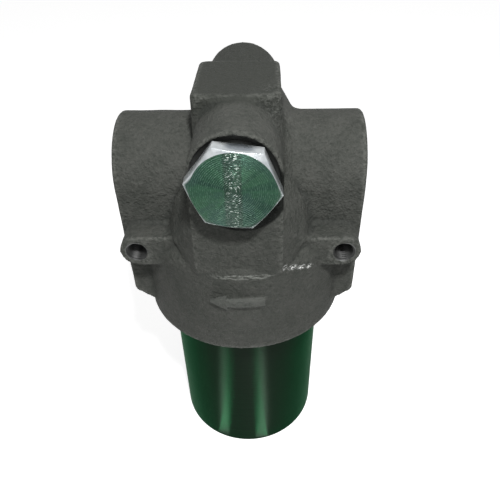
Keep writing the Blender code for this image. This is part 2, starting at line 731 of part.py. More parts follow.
def bowl(shop, material):
    """Deep steel cup with a pilot and seal groove over its threaded end."""
    chamfer = BOWL_RIM_CHAMFER
    groove_top = BOWL_RIM - GROOVE_BELOW_RIM
    groove_low = groove_top - GROOVE_WIDTH
    groove_radius = BOWL_PILOT_RADIUS - GROOVE_DEPTH
    profile = [
        (0.0, BOWL_BASE + BOWL_FLOOR, 0),
        (BOWL_BORE, BOWL_BASE + BOWL_FLOOR, BOWL_FLOOR_ROUND),
        (BOWL_BORE, BOWL_RIM, 0),
        (BOWL_PILOT_RADIUS - chamfer, BOWL_RIM, 0),
        (BOWL_PILOT_RADIUS, BOWL_RIM - chamfer, 0),
        (BOWL_PILOT_RADIUS, groove_top, 0),
        (groove_radius, groove_top, 0),
        (groove_radius, groove_low, 0),
        (BOWL_PILOT_RADIUS, groove_low, 0),
        (BOWL_PILOT_RADIUS, PILOT_STEP, 0),
        (BOWL_RADIUS, PILOT_STEP - (BOWL_RADIUS - BOWL_PILOT_RADIUS), 0),
        (BOWL_RADIUS, BOWL_BASE, BOWL_BASE_ROUND),
        (0.0, BOWL_BASE, 0),
    ]
    return turned_mesh(shop, "filter_bowl", profile, material, steps=ROUND_STEPS)


def ring(shop, name, outer, inner, top, bottom, corner, material, **where):
    """Turned ring with rounded corners, such as a seal."""
    profile = [
        (inner, top, corner),
        (outer, top, corner),
        (outer, bottom, corner),
        (inner, bottom, corner),
    ]
    return turned_mesh(
        shop, name, profile, material, closed=True, corner=SEAL_CORNER_STEPS, **where
    )


def bowl_seals(shop, rubber, plastic):
    """O-ring and backup ring in the groove of the bowl."""
    inner = BOWL_PILOT_RADIUS - GROOVE_DEPTH + GAP
    outer = BOWL_PILOT_RADIUS
    top = BOWL_RIM - GROOVE_BELOW_RIM - GAP
    low = top - GROOVE_WIDTH + 2.0 * GAP
    split = low + BACKUP_THICKNESS
    section = outer - inner
    ring(
        shop, "bowl_o_ring", outer, inner, top, split + GAP, section * 0.45, rubber, steps=ROUND_STEPS
    )
    ring(shop, "bowl_backup_ring", outer, inner, split, low, 0.0002, plastic, steps=ROUND_STEPS)


def indicator_plug(shop, steel):
    """Hexagon head plug, with a chamfered head, a collar and a plain shank."""
    on_boss = {"turn": (math.pi / 2.0, 0.0, 0.0), "at": (0.0, 0.0, BOSS_AXIS_HEIGHT)}
    seat = INDICATOR_SEAT + WASHER_THICKNESS + 2.0 * GAP
    hex_foot = seat + PLUG_COLLAR_HEIGHT
    face = hex_foot + HEX_HEIGHT
    corner = HEX_ACROSS_FLATS / math.sqrt(3.0)
    rim = corner + 0.0005
    blank = [
        (0.0, face, 0),
        (HEX_FACE_RADIUS, face, 0),
        (rim, face - (rim - HEX_FACE_RADIUS) * HEX_CHAMFER_SLOPE, 0),
        (rim, hex_foot, 0),
        (0.0, hex_foot, 0),
    ]
    plug = turned_mesh(shop, "indicator_port_plug", blank, steel, steps=48, **on_boss)
    angles = [HEX_TURN + math.pi / 3.0 * index for index in range(6)]
    outline = [Vector((corner * math.cos(angle), corner * math.sin(angle))) for angle in angles]
    prism = outline_mesh("hexagon", [outline], 4.0 * HEX_HEIGHT)
    hexagon = shop.place(
        "hexagon", prism, None, turn=on_boss["turn"], at=(0.0, -face, BOSS_AXIS_HEIGHT)
    )
    combine(plug, hexagon, "INTERSECT")
    shank_radius = INDICATOR_THREAD_RADIUS - GAP
    shank_end = BOSS_FRONT - PLUG_SHANK_LENGTH
    shank = [
        (0.0, hex_foot + 0.002, 0),
        (PLUG_COLLAR_RADIUS, hex_foot + 0.002, 0),
        (PLUG_COLLAR_RADIUS, seat, 0),
        (shank_radius, seat, 0),
        (shank_radius, shank_end + 0.0015, 0),
        (shank_radius - 0.0015, shank_end, 0),
        (0.0, shank_end, 0),
    ]
    combine(plug, turned_mesh(shop, "plug_shank", shank, None, steps=48, **on_boss), "UNION")
    return plug


def plug_seal(shop, steel, rubber):
    """Bonded seal under the plug: a steel ring with a rubber lip inside it."""
    on_boss = {"turn": (math.pi / 2.0, 0.0, 0.0), "at": (0.0, 0.0, BOSS_AXIS_HEIGHT)}
    low = INDICATOR_SEAT + GAP
    top = low + WASHER_THICKNESS
    tube(shop, "plug_seal_ring", WASHER_OUTER_RADIUS, WASHER_INNER_RADIUS, top, low, steel, **on_boss)
    inner = INDICATOR_THREAD_RADIUS
    outer = WASHER_INNER_RADIUS - GAP
    ring(shop, "plug_seal_lip", outer, inner, top, low, 0.0008, rubber, **on_boss)


def spigot(shop, steel, rubber):
    """Tube screwed into the ceiling that the element slides onto, with its own seal."""
    top = -CHAMBER_CEILING + SPIGOT_SOCKET_DEPTH
    flange_top = -CHAMBER_CEILING - GAP
    flange_low = flange_top - SPIGOT_FLANGE_HEIGHT
    end = -CHAMBER_CEILING - SPIGOT_REACH
    groove_mid = (top - CHAMBER_CEILING) / 2.0
    groove = O_RING_SECTION / 2.0 + GAP
    groove_radius = SPIGOT_RADIUS - O_RING_SECTION - GAP
    profile = [
        (SPIGOT_BORE, top, 0),
        (SPIGOT_RADIUS, top, 0),
        (SPIGOT_RADIUS, groove_mid + groove, 0),
        (groove_radius, groove_mid + groove, 0),
        (groove_radius, groove_mid - groove, 0),
        (SPIGOT_RADIUS, groove_mid - groove, 0),
        (SPIGOT_RADIUS, flange_top, 0),
        (SPIGOT_FLANGE_RADIUS, flange_top, 0),
        (SPIGOT_FLANGE_RADIUS, flange_low, 0),
        (SPIGOT_RADIUS, flange_low, 0),
        (SPIGOT_RADIUS, end + 0.001, 0),
        (SPIGOT_RADIUS - 0.001, end, 0),
        (SPIGOT_BORE, end, 0),
    ]
    turned_mesh(shop, "element_spigot", profile, steel, closed=True)
    inner = groove_radius + GAP
    top_edge, low_edge = groove_mid + O_RING_SECTION / 2.0, groove_mid - O_RING_SECTION / 2.0
    ring(shop, "spigot_o_ring", SPIGOT_RADIUS, inner, top_edge, low_edge, 0.0005, rubber)


def element_caps(shop, steel, rubber):
    """Top cap with its seal, and the closed bottom cap."""
    bore = SPIGOT_RADIUS + GAP
    hub_top = -ELEMENT_TOP
    plate_top = hub_top - CAP_HUB_HEIGHT
    groove_top = hub_top - 0.0016
    groove_low = groove_top - O_RING_SECTION - 2.0 * GAP
    groove_radius = bore + O_RING_SECTION + GAP
    lip = ELEMENT_RADIUS - CAP_LIP_WALL
    top_cap = [
        (bore, hub_top, 0),
        (CAP_HUB_RADIUS, hub_top, 0.0006),
        (CAP_HUB_RADIUS, plate_top, 0),
        (ELEMENT_RADIUS, plate_top, 0.001),
        (ELEMENT_RADIUS, plate_top - CAP_PLATE - CAP_LIP, 0),
        (lip, plate_top - CAP_PLATE - CAP_LIP, 0),
        (lip, CAP_UNDERSIDE, 0),
        (bore, CAP_UNDERSIDE, 0),
        (bore, groove_low, 0),
        (groove_radius, groove_low, 0),
        (groove_radius, groove_top, 0),
        (bore, groove_top, 0),
    ]
    turned_mesh(shop, "element_top_cap", top_cap, steel, closed=True)
    ring(
        shop, "element_o_ring", bore + O_RING_SECTION, bore, groove_top - GAP, groove_low + GAP, 0.0005, rubber
    )
    plate = ELEMENT_BOTTOM + CAP_PLATE
    bottom_cap = [
        (0.0, plate, 0),
        (lip, plate, 0),
        (lip, plate + CAP_LIP, 0),
        (ELEMENT_RADIUS, plate + CAP_LIP, 0),
        (ELEMENT_RADIUS, ELEMENT_BOTTOM, 0.001),
        (0.0, ELEMENT_BOTTOM, 0),
    ]
    turned_mesh(shop, "element_bottom_cap", bottom_cap, steel)


def core_tube(shop, steel):
    """Perforated tube that carries the pleated pack."""
    item = tube(shop, "element_core_tube", CORE_RADIUS, CORE_RADIUS - CORE_WALL, PACK_TOP, PACK_BOTTOM, steel)
    shape = bmesh.new()
    pitch = (PACK_TOP - PACK_BOTTOM) / (CORE_HOLE_ROWS + 1)
    for row in range(CORE_HOLE_ROWS):
        height = PACK_TOP - pitch * (row + 1)
        shift = 0.5 if row % 2 else 0.0
        for column in range(CORE_HOLES_PER_ROW):
            angle = 2.0 * math.pi * (column + shift) / CORE_HOLES_PER_ROW
            place = Matrix.Rotation(angle, 4, "Z") @ Matrix.Translation((CORE_RADIUS, 0.0, height))
            bmesh.ops.create_cone(
                shape,
                cap_ends=True,
                segments=6,
                radius1=CORE_HOLE_RADIUS,
                radius2=CORE_HOLE_RADIUS,
                depth=CORE_WALL * 4.0,
                matrix=place @ Matrix.Rotation(math.pi / 2.0, 4, "Y"),
            )
    mesh = bpy.data.meshes.new("core_holes")
    shape.to_mesh(mesh)
    shape.free()
    combine(item, shop.place("core_holes", mesh, None), "DIFFERENCE")
    return item


def pleat_loop(outer, inner):
    """Zigzag loop with a peak and a valley for each pleat."""
    count = 2 * PLEATS
    radii = [outer if index % 2 else inner for index in range(count)]
    angles = [2.0 * math.pi * index / count for index in range(count)]
    return [Vector((r * math.cos(a), r * math.sin(a))) for r, a in zip(radii, angles)]


def pleated_pack(shop, paper, steel):
    """Pleated media over a fine support mesh."""
    height = PACK_TOP - PACK_BOTTOM
    middle = (PACK_TOP + PACK_BOTTOM) / 2.0
    loops = [
        pleat_loop(MEDIA_OUTER, MEDIA_INNER + PLEAT_WALL),
        pleat_loop(MEDIA_OUTER - PLEAT_WALL, MEDIA_INNER),
    ]
    mesh = outline_mesh("element_media", loops, height)
    shop.place("element_media", mesh, paper, at=(0.0, 0.0, middle))
    tube(
        shop, "element_support_mesh", MESH_RADIUS, CORE_RADIUS + GAP, PACK_TOP, PACK_BOTTOM, steel
    )


def bypass_seat(shop, steel):
    """Valve body with the seat at its foot and a pocket for the cage above it."""
    groove_low, groove_top = CLIP_FOOT - GAP, CLIP_FOOT + CLIP_THICKNESS + GAP
    groove_radius = CAGE_RADIUS + GAP + CLIP_WIDTH + GAP
    flange_top = -CHAMBER_CEILING - GAP
    profile = [
        (VALVE_POCKET_RADIUS, VALVE_TOP, 0),
        (VALVE_BODY_RADIUS, VALVE_TOP, 0),
        (VALVE_BODY_RADIUS, flange_top, 0),
        (VALVE_FLANGE_RADIUS, flange_top, 0),
        (VALVE_FLANGE_RADIUS, VALVE_BOTTOM, 0.0006),
        (VALVE_SEAT_RADIUS, VALVE_BOTTOM, 0),
        (VALVE_SEAT_RADIUS, SEAT_FACE, 0),
        (VALVE_GUIDE_RADIUS, SEAT_FACE, 0),
        (VALVE_GUIDE_RADIUS, POCKET_FLOOR, 0),
        (VALVE_POCKET_RADIUS, POCKET_FLOOR, 0),
        (VALVE_POCKET_RADIUS, groove_low, 0),
        (groove_radius, groove_low, 0),
        (groove_radius, groove_top, 0),
        (VALVE_POCKET_RADIUS, groove_top, 0),
    ]
    return turned_mesh(shop, "bypass_seat", profile, steel, closed=True, steps=SMALL_STEPS, parent=shop.valve)


def bypass_poppet(shop, steel):
    """Disc on a stem, lifted off the seat by the inlet pressure."""
    stem_top = CAGE_TOP + 0.0008
    profile = [
        (0.0, stem_top, 0),
        (POPPET_STEM_RADIUS, stem_top, 0.0006),
        (POPPET_STEM_RADIUS, POPPET_SHOULDER, 0),
        (POPPET_RADIUS, POPPET_SHOULDER, 0.0004),
        (POPPET_RADIUS, POPPET_FOOT, 0.0004),
        (0.0, POPPET_FOOT, 0),
    ]
    return turned_mesh(shop, "bypass_poppet", profile, steel, steps=SMALL_STEPS, parent=shop.valve)


def bypass_cage(shop, steel):
    """Cage over the spring, with a window on each side and a guide hole in its roof."""
    flange_top = CAGE_FOOT + CAGE_FLANGE_HEIGHT
    flange_radius = VALVE_POCKET_RADIUS - GAP
    guide = POPPET_STEM_RADIUS + GAP
    profile = [
        (guide, CAGE_TOP, 0),
        (CAGE_RADIUS, CAGE_TOP, 0.0008),
        (CAGE_RADIUS, flange_top, 0),
        (flange_radius, flange_top, 0),
        (flange_radius, CAGE_FOOT, 0),
        (CAGE_BORE, CAGE_FOOT, 0),
        (CAGE_BORE, CAGE_ROOF_UNDERSIDE, 0),
        (guide, CAGE_ROOF_UNDERSIDE, 0),
    ]
    cage = turned_mesh(
        shop, "bypass_cage", profile, steel, closed=True, steps=SMALL_STEPS, parent=shop.valve
    )
    middle = CAGE_ROOF_UNDERSIDE - CAGE_WINDOW_HEIGHT / 2.0 - 0.001
    reach = 3.0 * CAGE_RADIUS
    for name, turn in (("windows_x", 0.0), ("windows_y", math.pi / 2.0)):
        size = (reach, CAGE_WINDOW_WIDTH, CAGE_WINDOW_HEIGHT)
        window = block(shop, name, size, (0.0, 0.0, middle), turn=(0.0, 0.0, turn), parent=shop.valve)
        combine(cage, window, "DIFFERENCE")
    return cage


def bypass_clip(shop, steel):
    """Open snap ring that holds the cage in the valve body."""
    inner = CAGE_RADIUS + GAP
    clip = ring(
        shop,
        "bypass_snap_ring",
        inner + CLIP_WIDTH,
        inner,
        CLIP_FOOT + CLIP_THICKNESS,
        CLIP_FOOT,
        0,
        steel,
        steps=SMALL_STEPS,
        parent=shop.valve,
    )
    reach = inner + 2.0 * CLIP_WIDTH
    size = (reach, CLIP_OPENING, CLIP_THICKNESS * 3.0)
    place = (-reach / 2.0, 0.0, CLIP_FOOT + CLIP_THICKNESS / 2.0)
    combine(clip, block(shop, "clip_opening", size, place, parent=shop.valve), "DIFFERENCE")
    return clip


def bypass_spring(shop, steel):
    """Compression spring between the poppet and the roof of the cage."""
    low = POPPET_SHOULDER + GAP + SPRING_WIRE_RADIUS
    high = CAGE_ROOF_UNDERSIDE - GAP - SPRING_WIRE_RADIUS
    count = int(SPRING_TURNS * 10)
    curve = bpy.data.curves.new("bypass_spring", "CURVE")
    curve.dimensions = "3D"
    curve.bevel_depth = SPRING_WIRE_RADIUS
    curve.bevel_resolution = 2
    curve.use_fill_caps = True
    spline = curve.splines.new("POLY")
    spline.points.add(count)
    for index, point in enumerate(spline.points):
        share = index / count
        angle = 2.0 * math.pi * SPRING_TURNS * share
        height = low + (high - low) * share
        point.co = (SPRING_RADIUS * math.cos(angle), SPRING_RADIUS * math.sin(angle), height, 1.0)
    mesh = welded_mesh("bypass_spring", curve)
    return shop.place("bypass_spring", mesh, steel, parent=shop.valve)


def shade(shop):
    """Shade round pieces smooth and keep their edges crisp."""
    for item in list(shop.parts.objects) + list(shop.cutters.objects):
        if item.type == "MESH" and item.data.polygons:
            item.data.shade_smooth()
            item.data.set_sharp_from_angle(angle=math.radians(35.0))
            item.modifiers.new("even shading", "WEIGHTED_NORMAL").keep_sharp = True


def main():
    """Build every piece."""
    remove_old_objects()
    shop = Workshop()
    casting = new_material("grey_casting", (0.075, 0.08, 0.078), 0.62, 0.35)
    coated = new_material("green_bowl_coat", (0.012, 0.045, 0.022), 0.16, 0.2)
    steel = new_material("turned_steel", (0.5, 0.52, 0.5), 0.3, 1.0)
    spring_steel = new_material("spring_steel", (0.32, 0.33, 0.34), 0.35, 1.0)
    tin = new_material("zinc_plated_sheet", (0.55, 0.56, 0.56), 0.38, 0.9)
    rubber = new_material("black_rubber", (0.015, 0.015, 0.016), 0.7, 0.0)
    plastic = new_material("white_seal_plastic", (0.75, 0.74, 0.7), 0.45, 0.0)
    media = new_material("filter_media", (0.72, 0.68, 0.55), 0.85, 0.0)
    filter_head(shop, casting)
    bowl(shop, coated)
    bowl_seals(shop, rubber, plastic)
    indicator_plug(shop, steel)
    plug_seal(shop, steel, rubber)
    spigot(shop, steel, rubber)
    element_caps(shop, tin, rubber)
    core_tube(shop, tin)
    pleated_pack(shop, media, tin)
    bypass_seat(shop, steel)
    bypass_poppet(shop, steel)
    bypass_cage(shop, steel)
    bypass_clip(shop, spring_steel)
    bypass_spring(shop, spring_steel)
    shade(shop)


main()
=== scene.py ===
"""Looks of the hydraulic pressure filter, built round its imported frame.

The head is a sand casting with soft edges and crisp machined bores. The bowl is a turned
steel cup under a dark green coat, and the plug has a turned face. Every size is in metres.
The frame's origin is the centre of the bowl's flat base, with +Z up.
"""

from __future__ import annotations

import logging
import math
from dataclasses import dataclass
from enum import Enum
from typing import Any, Callable

import bmesh
import bpy
import numpy as np
from mathutils import Matrix, Vector, noise

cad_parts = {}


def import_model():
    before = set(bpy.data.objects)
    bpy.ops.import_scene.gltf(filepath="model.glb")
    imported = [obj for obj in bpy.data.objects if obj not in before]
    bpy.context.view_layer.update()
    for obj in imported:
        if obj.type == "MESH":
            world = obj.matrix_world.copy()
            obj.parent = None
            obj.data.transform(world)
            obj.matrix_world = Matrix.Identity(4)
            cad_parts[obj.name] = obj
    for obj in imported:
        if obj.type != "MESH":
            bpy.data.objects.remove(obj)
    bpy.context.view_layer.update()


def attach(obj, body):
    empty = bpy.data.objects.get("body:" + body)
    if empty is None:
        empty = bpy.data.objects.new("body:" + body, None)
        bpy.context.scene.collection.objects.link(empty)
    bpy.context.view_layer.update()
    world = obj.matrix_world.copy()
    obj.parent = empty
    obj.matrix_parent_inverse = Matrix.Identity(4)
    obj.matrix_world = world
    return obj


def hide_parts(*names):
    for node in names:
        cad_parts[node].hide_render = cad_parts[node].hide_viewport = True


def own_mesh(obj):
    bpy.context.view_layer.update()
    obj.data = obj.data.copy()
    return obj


LOG = logging.getLogger("pressure_filter")

# Driving values, shared by several pieces
PORT_AXIS = 0.2235
BOSS_AXIS = PORT_AXIS + 0.0285
SEAM = 0.00001
BORE_SIDES = 96

Pair = tuple[float, float]
Point = tuple[float, float, float]
Colour = tuple[float, float, float]


class Axis(Enum):
    """Directions that turned pieces point to."""

    UP = (0.0, 0.0, 1.0)
    FRONT = (0.0, -1.0, 0.0)
    LEFT = (-1.0, 0.0, 0.0)
    RIGHT = (1.0, 0.0, 0.0)

    def matrix(self, place: Point) -> Matrix:
        """Placement that turns local +Z to this direction, with its origin at a place."""
        turn = Vector(self.value).to_track_quat("Z", "Y").to_matrix().to_4x4()
        return Matrix.Translation(place) @ turn


PORT_SIDES = (Axis.LEFT, Axis.RIGHT)


class Cut(Enum):
    """What a Boolean does with its tool."""

    JOIN = "UNION"
    REMOVE = "DIFFERENCE"
    KEEP_COMMON = "INTERSECT"


class Shade:
    """A number that varies over a surface, for use in Python expressions."""

    def __init__(self, bench: "NodeBench", socket: bpy.types.NodeSocket) -> None:
        """Keep the socket and the bench that adds nodes behind it."""
        self.bench = bench
        self.socket = socket

    def _math(self, operation: str, first: Any, second: Any = None) -> "Shade":
        """Add a Math node.

        Args:
            operation: Blender's name of the operation.
            first: Left value.
            second: Right value, where the operation has one.

        Returns:
            The result.
        """
        values = {0: first} if second is None else {0: first, 1: second}
        return self.bench.shade("ShaderNodeMath", values, operation=operation)

    def __add__(self, other: Any) -> "Shade":
        """Sum."""
        return self._math("ADD", self, other)

    def __radd__(self, other: Any) -> "Shade":
        """Sum with a number on the left."""
        return self._math("ADD", other, self)

    def __sub__(self, other: Any) -> "Shade":
        """Difference."""
        return self._math("SUBTRACT", self, other)

    def __rsub__(self, other: Any) -> "Shade":
        """Difference from a number on the left."""
        return self._math("SUBTRACT", other, self)

    def __mul__(self, other: Any) -> "Shade":
        """Product."""
        return self._math("MULTIPLY", self, other)

    def __truediv__(self, other: Any) -> "Shade":
        """Quotient."""
        return self._math("DIVIDE", self, other)

    def sine(self) -> "Shade":
        """Sine of the value in radians."""
        return self._math("SINE", self)

    def root(self) -> "Shade":
        """Square root."""
        return self._math("SQRT", self)

    def most(self, other: Any) -> "Shade":
        """Larger of two values."""
        return self._math("MAXIMUM", self, other)

    def step(self, low: float, high: float) -> "Shade":
        """Smooth rise from 0 to 1.

        Args:
            low: Value at which the rise starts.
            high: Value at which it ends.

        Returns:
            The mask.
        """
        values = {"Value": self, "From Min": low, "From Max": high}
        return self.bench.shade("ShaderNodeMapRange", values, interpolation_type="SMOOTHSTEP")


class NodeBench:
    """Adds the nodes of one material or world."""

    def __init__(self, tree: bpy.types.NodeTree) -> None:
        """Start from an empty tree."""
        self.tree = tree
        self.tree.nodes.clear()

    def add(self, kind: str, values: dict[Any, Any] | None = None, **settings: Any) -> bpy.types.Node:
        """Add one node.

        Args:
            kind: Blender's node type.
            values: A value or a link for each named or numbered socket.
            settings: The node's own settings, which are set first.

        Returns:
            The node.
        """
        node = self.tree.nodes.new(kind)
        for name, value in settings.items():
            setattr(node, name, value)
        for name, value in (values or {}).items():
            target = node.inputs[name]
            if isinstance(value, Shade):
                value = value.socket
            if isinstance(value, bpy.types.NodeSocket):
                self.tree.links.new(value, target)
            elif isinstance(value, tuple) and target.type == "RGBA" and len(value) == 3:
                target.default_value = (*value, 1.0)
            else:
                target.default_value = value
        return node

    def shade(self, kind: str, values: dict[Any, Any], output: Any = 0, **settings: Any) -> Shade:
        """Add one node and take one of its outputs as a number."""
        return Shade(self, self.add(kind, values, **settings).outputs[output])

    def place(self) -> bpy.types.NodeSocket:
        """Place on the piece, in the frame's own metres."""
        return self.add("ShaderNodeTexCoord").outputs["Object"]

    def parts(self, vector: bpy.types.NodeSocket) -> tuple[Shade, ...]:
        """The three numbers of a vector."""
        outputs = self.add("ShaderNodeSeparateXYZ", {0: vector}).outputs
        return tuple(Shade(self, output) for output in outputs)

    def facing(self) -> tuple[Shade, ...]:
        """Direction that the surface faces, as three numbers."""
        return self.parts(self.add("ShaderNodeTexCoord").outputs["Normal"])

    def grain(self, size: float, detail: float = 3.0, stretch: Point = (1.0, 1.0, 1.0)) -> Shade:
        """Noise of about the given feature size.

        Args:
            size: Feature size in metres.
            detail: Finer layers on top.
            stretch: Scale of the place along each axis.

        Returns:
            The noise, from 0 to 1.
        """
        scaled = self.add("ShaderNodeMapping", {"Vector": self.place(), "Scale": stretch})
        return self.noise(scaled.outputs[0], 1.0 / size, detail)

    def noise(self, place: bpy.types.NodeSocket, scale: float, detail: float) -> Shade:
        """Noise at a place, from 0 to 1, with finer layers on top."""
        values = {"Vector": place, "Scale": scale, "Detail": detail, "Roughness": 0.6}
        return self.shade("ShaderNodeTexNoise", values)

    def cells(self, size: float) -> Shade:
        """Distance from scattered points, for pits."""
        return self.shade("ShaderNodeTexVoronoi", {"Vector": self.place(), "Scale": 1.0 / size}, "Distance")

    def stored(self, name: str) -> Shade:
        """Number that a piece's mesh keeps at each vertex."""
        return self.shade("ShaderNodeAttribute", {}, "Fac", attribute_name=name)

    def noise_at(self, across: Shade, along: Shade, height: Any) -> Shade:
        """Noise at a place worked out from three numbers."""
        vector = self.add("ShaderNodeCombineXYZ", {0: across, 1: along, 2: height})
        return self.noise(vector.outputs[0], 1.0, 3.0)

    def near(self, centre: Point, radius: float, stretch: Point = (1.0, 1.0, 1.0)) -> Shade:
        """Mask that is 1 at a place and falls to 0 at a radius.

        Args:
            centre: The place.
            radius: Where the mask reaches 0, along an axis with stretch 1.
            stretch: Scale along each axis.

        Returns:
            The mask.
        """
        spot: Any = self.place()
        for operation, value in (("SUBTRACT", centre), ("MULTIPLY", stretch)):
            spot = self.add("ShaderNodeVectorMath", {0: spot, 1: value}, operation=operation).outputs[0]
        length = self.shade("ShaderNodeVectorMath", {0: spot}, "Value", operation="LENGTH")
        return (1.0 - length / radius).step(0.0, 1.0)

    def blend(self, mask: Shade, first: Any, second: Any) -> bpy.types.NodeSocket:
        """Mix two colours or colour sockets: a mask of 0 gives the first, 1 the second."""
        return self.add("ShaderNodeMix", {0: mask, 6: first, 7: second}, data_type="RGBA").outputs[2]

    def relief(self, height: Shade, depth: float, under: Any = None) -> bpy.types.NodeSocket:
        """Bump the surface.

        Args:
            height: Height from 0 to 1.
            depth: How deep a step of 1 is.
            under: Normal of a coarser relief below this one.

        Returns:
            The normal.
        """
        values: dict[Any, Any] = {"Height": height, "Distance": depth, "Strength": 1.0}
        if under is not None:
            values["Normal"] = under
        return self.add("ShaderNodeBump", values).outputs[0]

    def surface(self, values: dict[str, Any]) -> None:
        """Close the tree with a Principled shader that has a value or a link for each socket."""
        shader = self.add("ShaderNodeBsdfPrincipled", values)
        self.add("ShaderNodeOutputMaterial", {"Surface": shader.outputs[0]})


def new_material(name: str) -> tuple[bpy.types.Material, NodeBench]:
    """Start a material.

    Args:
        name: Its name.

    Returns:
        The material and the bench for its nodes.
    """
    material = bpy.data.materials.new(name)
    material.use_nodes = True
    return material, NodeBench(material.node_tree)


@dataclass(frozen=True)
class CastSkin:
    """Matt phosphated skin of the sand casting, with painted highlights and shade laid over its grey."""

    name: str = "phosphated_casting"
    dark: Colour = (0.048, 0.052, 0.0460)
    pale: Colour = (0.088, 0.090, 0.082)
    # Pale colour of worn edges, which also paints highlights along them.
    worn_and_lit_crest: Colour = (0.17, 0.175, 0.16)
    # Painted shade for hollows and creases.
    hollow: Colour = (0.016, 0.018, 0.017)
    fresh_metal: Colour = (0.80, 0.81, 0.79)
    # Grey of scuffs, and of painted highlight lines on the shoulder's ledge.
    scuff_and_ledge_highlight_grey: Colour = (0.23, 0.24, 0.22)
    # Painted shade for the top of the tower.
    painted_top_shade: Colour = (0.042, 0.045, 0.0395)
    # Black of the painted shadow round the plug.
    painted_plug_shadow_black: Colour = (0.004, 0.005, 0.004)
    chip_places: tuple[Point, ...] = (
        (0.0246, -0.0608, 0.1930),
        (0.0300, -0.0585, 0.1905),
        (0.0355, -0.0558, 0.1885),
        (0.0400, -0.0528, 0.1866),
    )
    chip_reach: float = 0.0034
    scuff_place: Point = (0.0225, -0.0210, 0.2690)
    scuff_reach: float = 0.021
    ledge_place: Point = (0.0035, -0.0655, 0.1890)
    ledge_reach: float = 0.0050
    boss_place: Point = (0.0, -0.0640, BOSS_AXIS)
    # Centre of the painted shadow round the plug.
    plug_shadow_place: Point = (0.0030, -0.0640, BOSS_AXIS - 0.0085)
    boss_reach: float = 0.034
    top_height: Pair = (0.262, 0.272)
    top_front: Pair = (-0.034, -0.027)
    mottle_size: float = 0.014
    coarse_size: float = 0.0024
    scrape_size: float = 0.0022
    pit_size: float = 0.0017
    chip_size: float = 0.0014
    sand_size: float = 0.0010
    mottle_depth: float = 0.0010
    scuff_depth: float = 0.0014
    coarse_depth: float = 0.00120
    sand_depth: float = 0.00060

    def wear(
        self, bench: NodeBench, grey: bpy.types.NodeSocket, coarse_sand: Shade
    ) -> tuple[bpy.types.NodeSocket, Shade]:
        """Lay painted shade on the tower's top, edge wear with painted highlights, painted shade in the
        hollows, scuffs, painted highlight lines on the shoulder's ledge and a painted shadow round the plug
        over the grey.

        Args:
            bench: The bench of the material.
            grey: The plain skin's colour.
            coarse_sand: Grain that breaks up the worn edges.

        Returns:
            The colour with its wear and its painted light and shade, and the mask of the scuff at the tower.
        """
        curve = bench.stored("edge_curve")
        scuff = bench.near(self.scuff_place, self.scuff_reach)
        scuff = scuff * bench.grain(self.chip_size, 4.0).step(0.42, 0.68)
        scrapes = bench.grain(self.scrape_size, 3.0, (0.6, 0.6, 2.4)).step(0.46, 0.60)
        # Painted highlight: broken pale lines along the front edge of the skirt's shoulder.
        painted_ledge_lines = bench.near(self.ledge_place, self.ledge_reach, (0.18, 1.0, 1.9)).step(0.0, 0.45) * scrapes
        _, depth, height = bench.parts(bench.place())
        # Painted shade: the top of the tower is made darker.
        top = height.step(*self.top_height) * depth.step(*self.top_front)
        grey = bench.blend(top * 0.85, grey, self.painted_top_shade)
        machined = bench.near(self.boss_place, self.boss_reach).step(0.15, 0.28)
        # Worn edges, partly painted highlight: proud edges are lightened as if they catch the light.
        edge_wear_and_highlight = curve.step(0.56, 0.90) * coarse_sand.step(0.35, 0.65) * (1.0 - machined)
        grey = bench.blend(edge_wear_and_highlight * 0.45, grey, self.worn_and_lit_crest)
        # Painted shade: hollows and creases are darkened.
        grey = bench.blend((1.0 - curve.step(0.10, 0.40)) * 0.35, grey, self.hollow)
        # Scuffs are wear; the ledge lines are a painted highlight.
        grey = bench.blend((scuff * 0.6).most(painted_ledge_lines * 0.9), grey, self.scuff_and_ledge_highlight_grey)
        # Painted shadow: black crescents round the lower half of the plug's head.
        plug_shadow_mask = bench.near(self.plug_shadow_place, self.boss_reach, (1.0, 0.35, 1.0)).step(0.212, 0.265)
        return bench.blend(plug_shadow_mask * 0.96, grey, self.painted_plug_shadow_black), scuff

    def chips(self, bench: NodeBench) -> Shade:
        """Mask of the spots where the skin is knocked off down to bright metal.

        Args:
            bench: The bench of the material.

        Returns:
            The mask.
        """
        around = bench.near(self.chip_places[0], self.chip_reach)
        for place in self.chip_places[1:]:
            around = around.most(bench.near(place, self.chip_reach, (0.75, 0.9, 1.5)))
        return around * bench.grain(self.chip_size, 3.0, (0.8, 0.8, 1.9)).step(0.48, 0.56)

    def material(self) -> bpy.types.Material:
        """Build the material.

        Returns:
            The material.
        """
        material, bench = new_material(self.name)
        mottle = bench.grain(self.mottle_size, 5.0)
        sand = bench.grain(self.sand_size)
        coarse_sand = bench.grain(self.coarse_size)
        patches = (mottle * 0.5 + sand * 0.5 + coarse_sand * 0.5).step(0.50, 0.98)
        grey, scuff = self.wear(bench, bench.blend(patches, self.dark, self.pale), coarse_sand)
        chip = self.chips(bench)
        relief = bench.relief(mottle, self.mottle_depth)
        relief = bench.relief(bench.grain(self.scrape_size) * scuff, self.scuff_depth, relief)
        relief = bench.relief(coarse_sand, self.coarse_depth, relief)
        relief = bench.relief(sand * 0.8 + bench.cells(self.pit_size) * 0.4, self.sand_depth, relief)
        bench.surface(
            {
                "Base Color": bench.blend(chip, grey, self.fresh_metal),
                "Roughness": 0.56 + sand * 0.2 - chip * 0.3,
                "Metallic": chip * 0.8,
                "Normal": relief,
                "Specular IOR Level": 0.08,
            }
        )
        return material


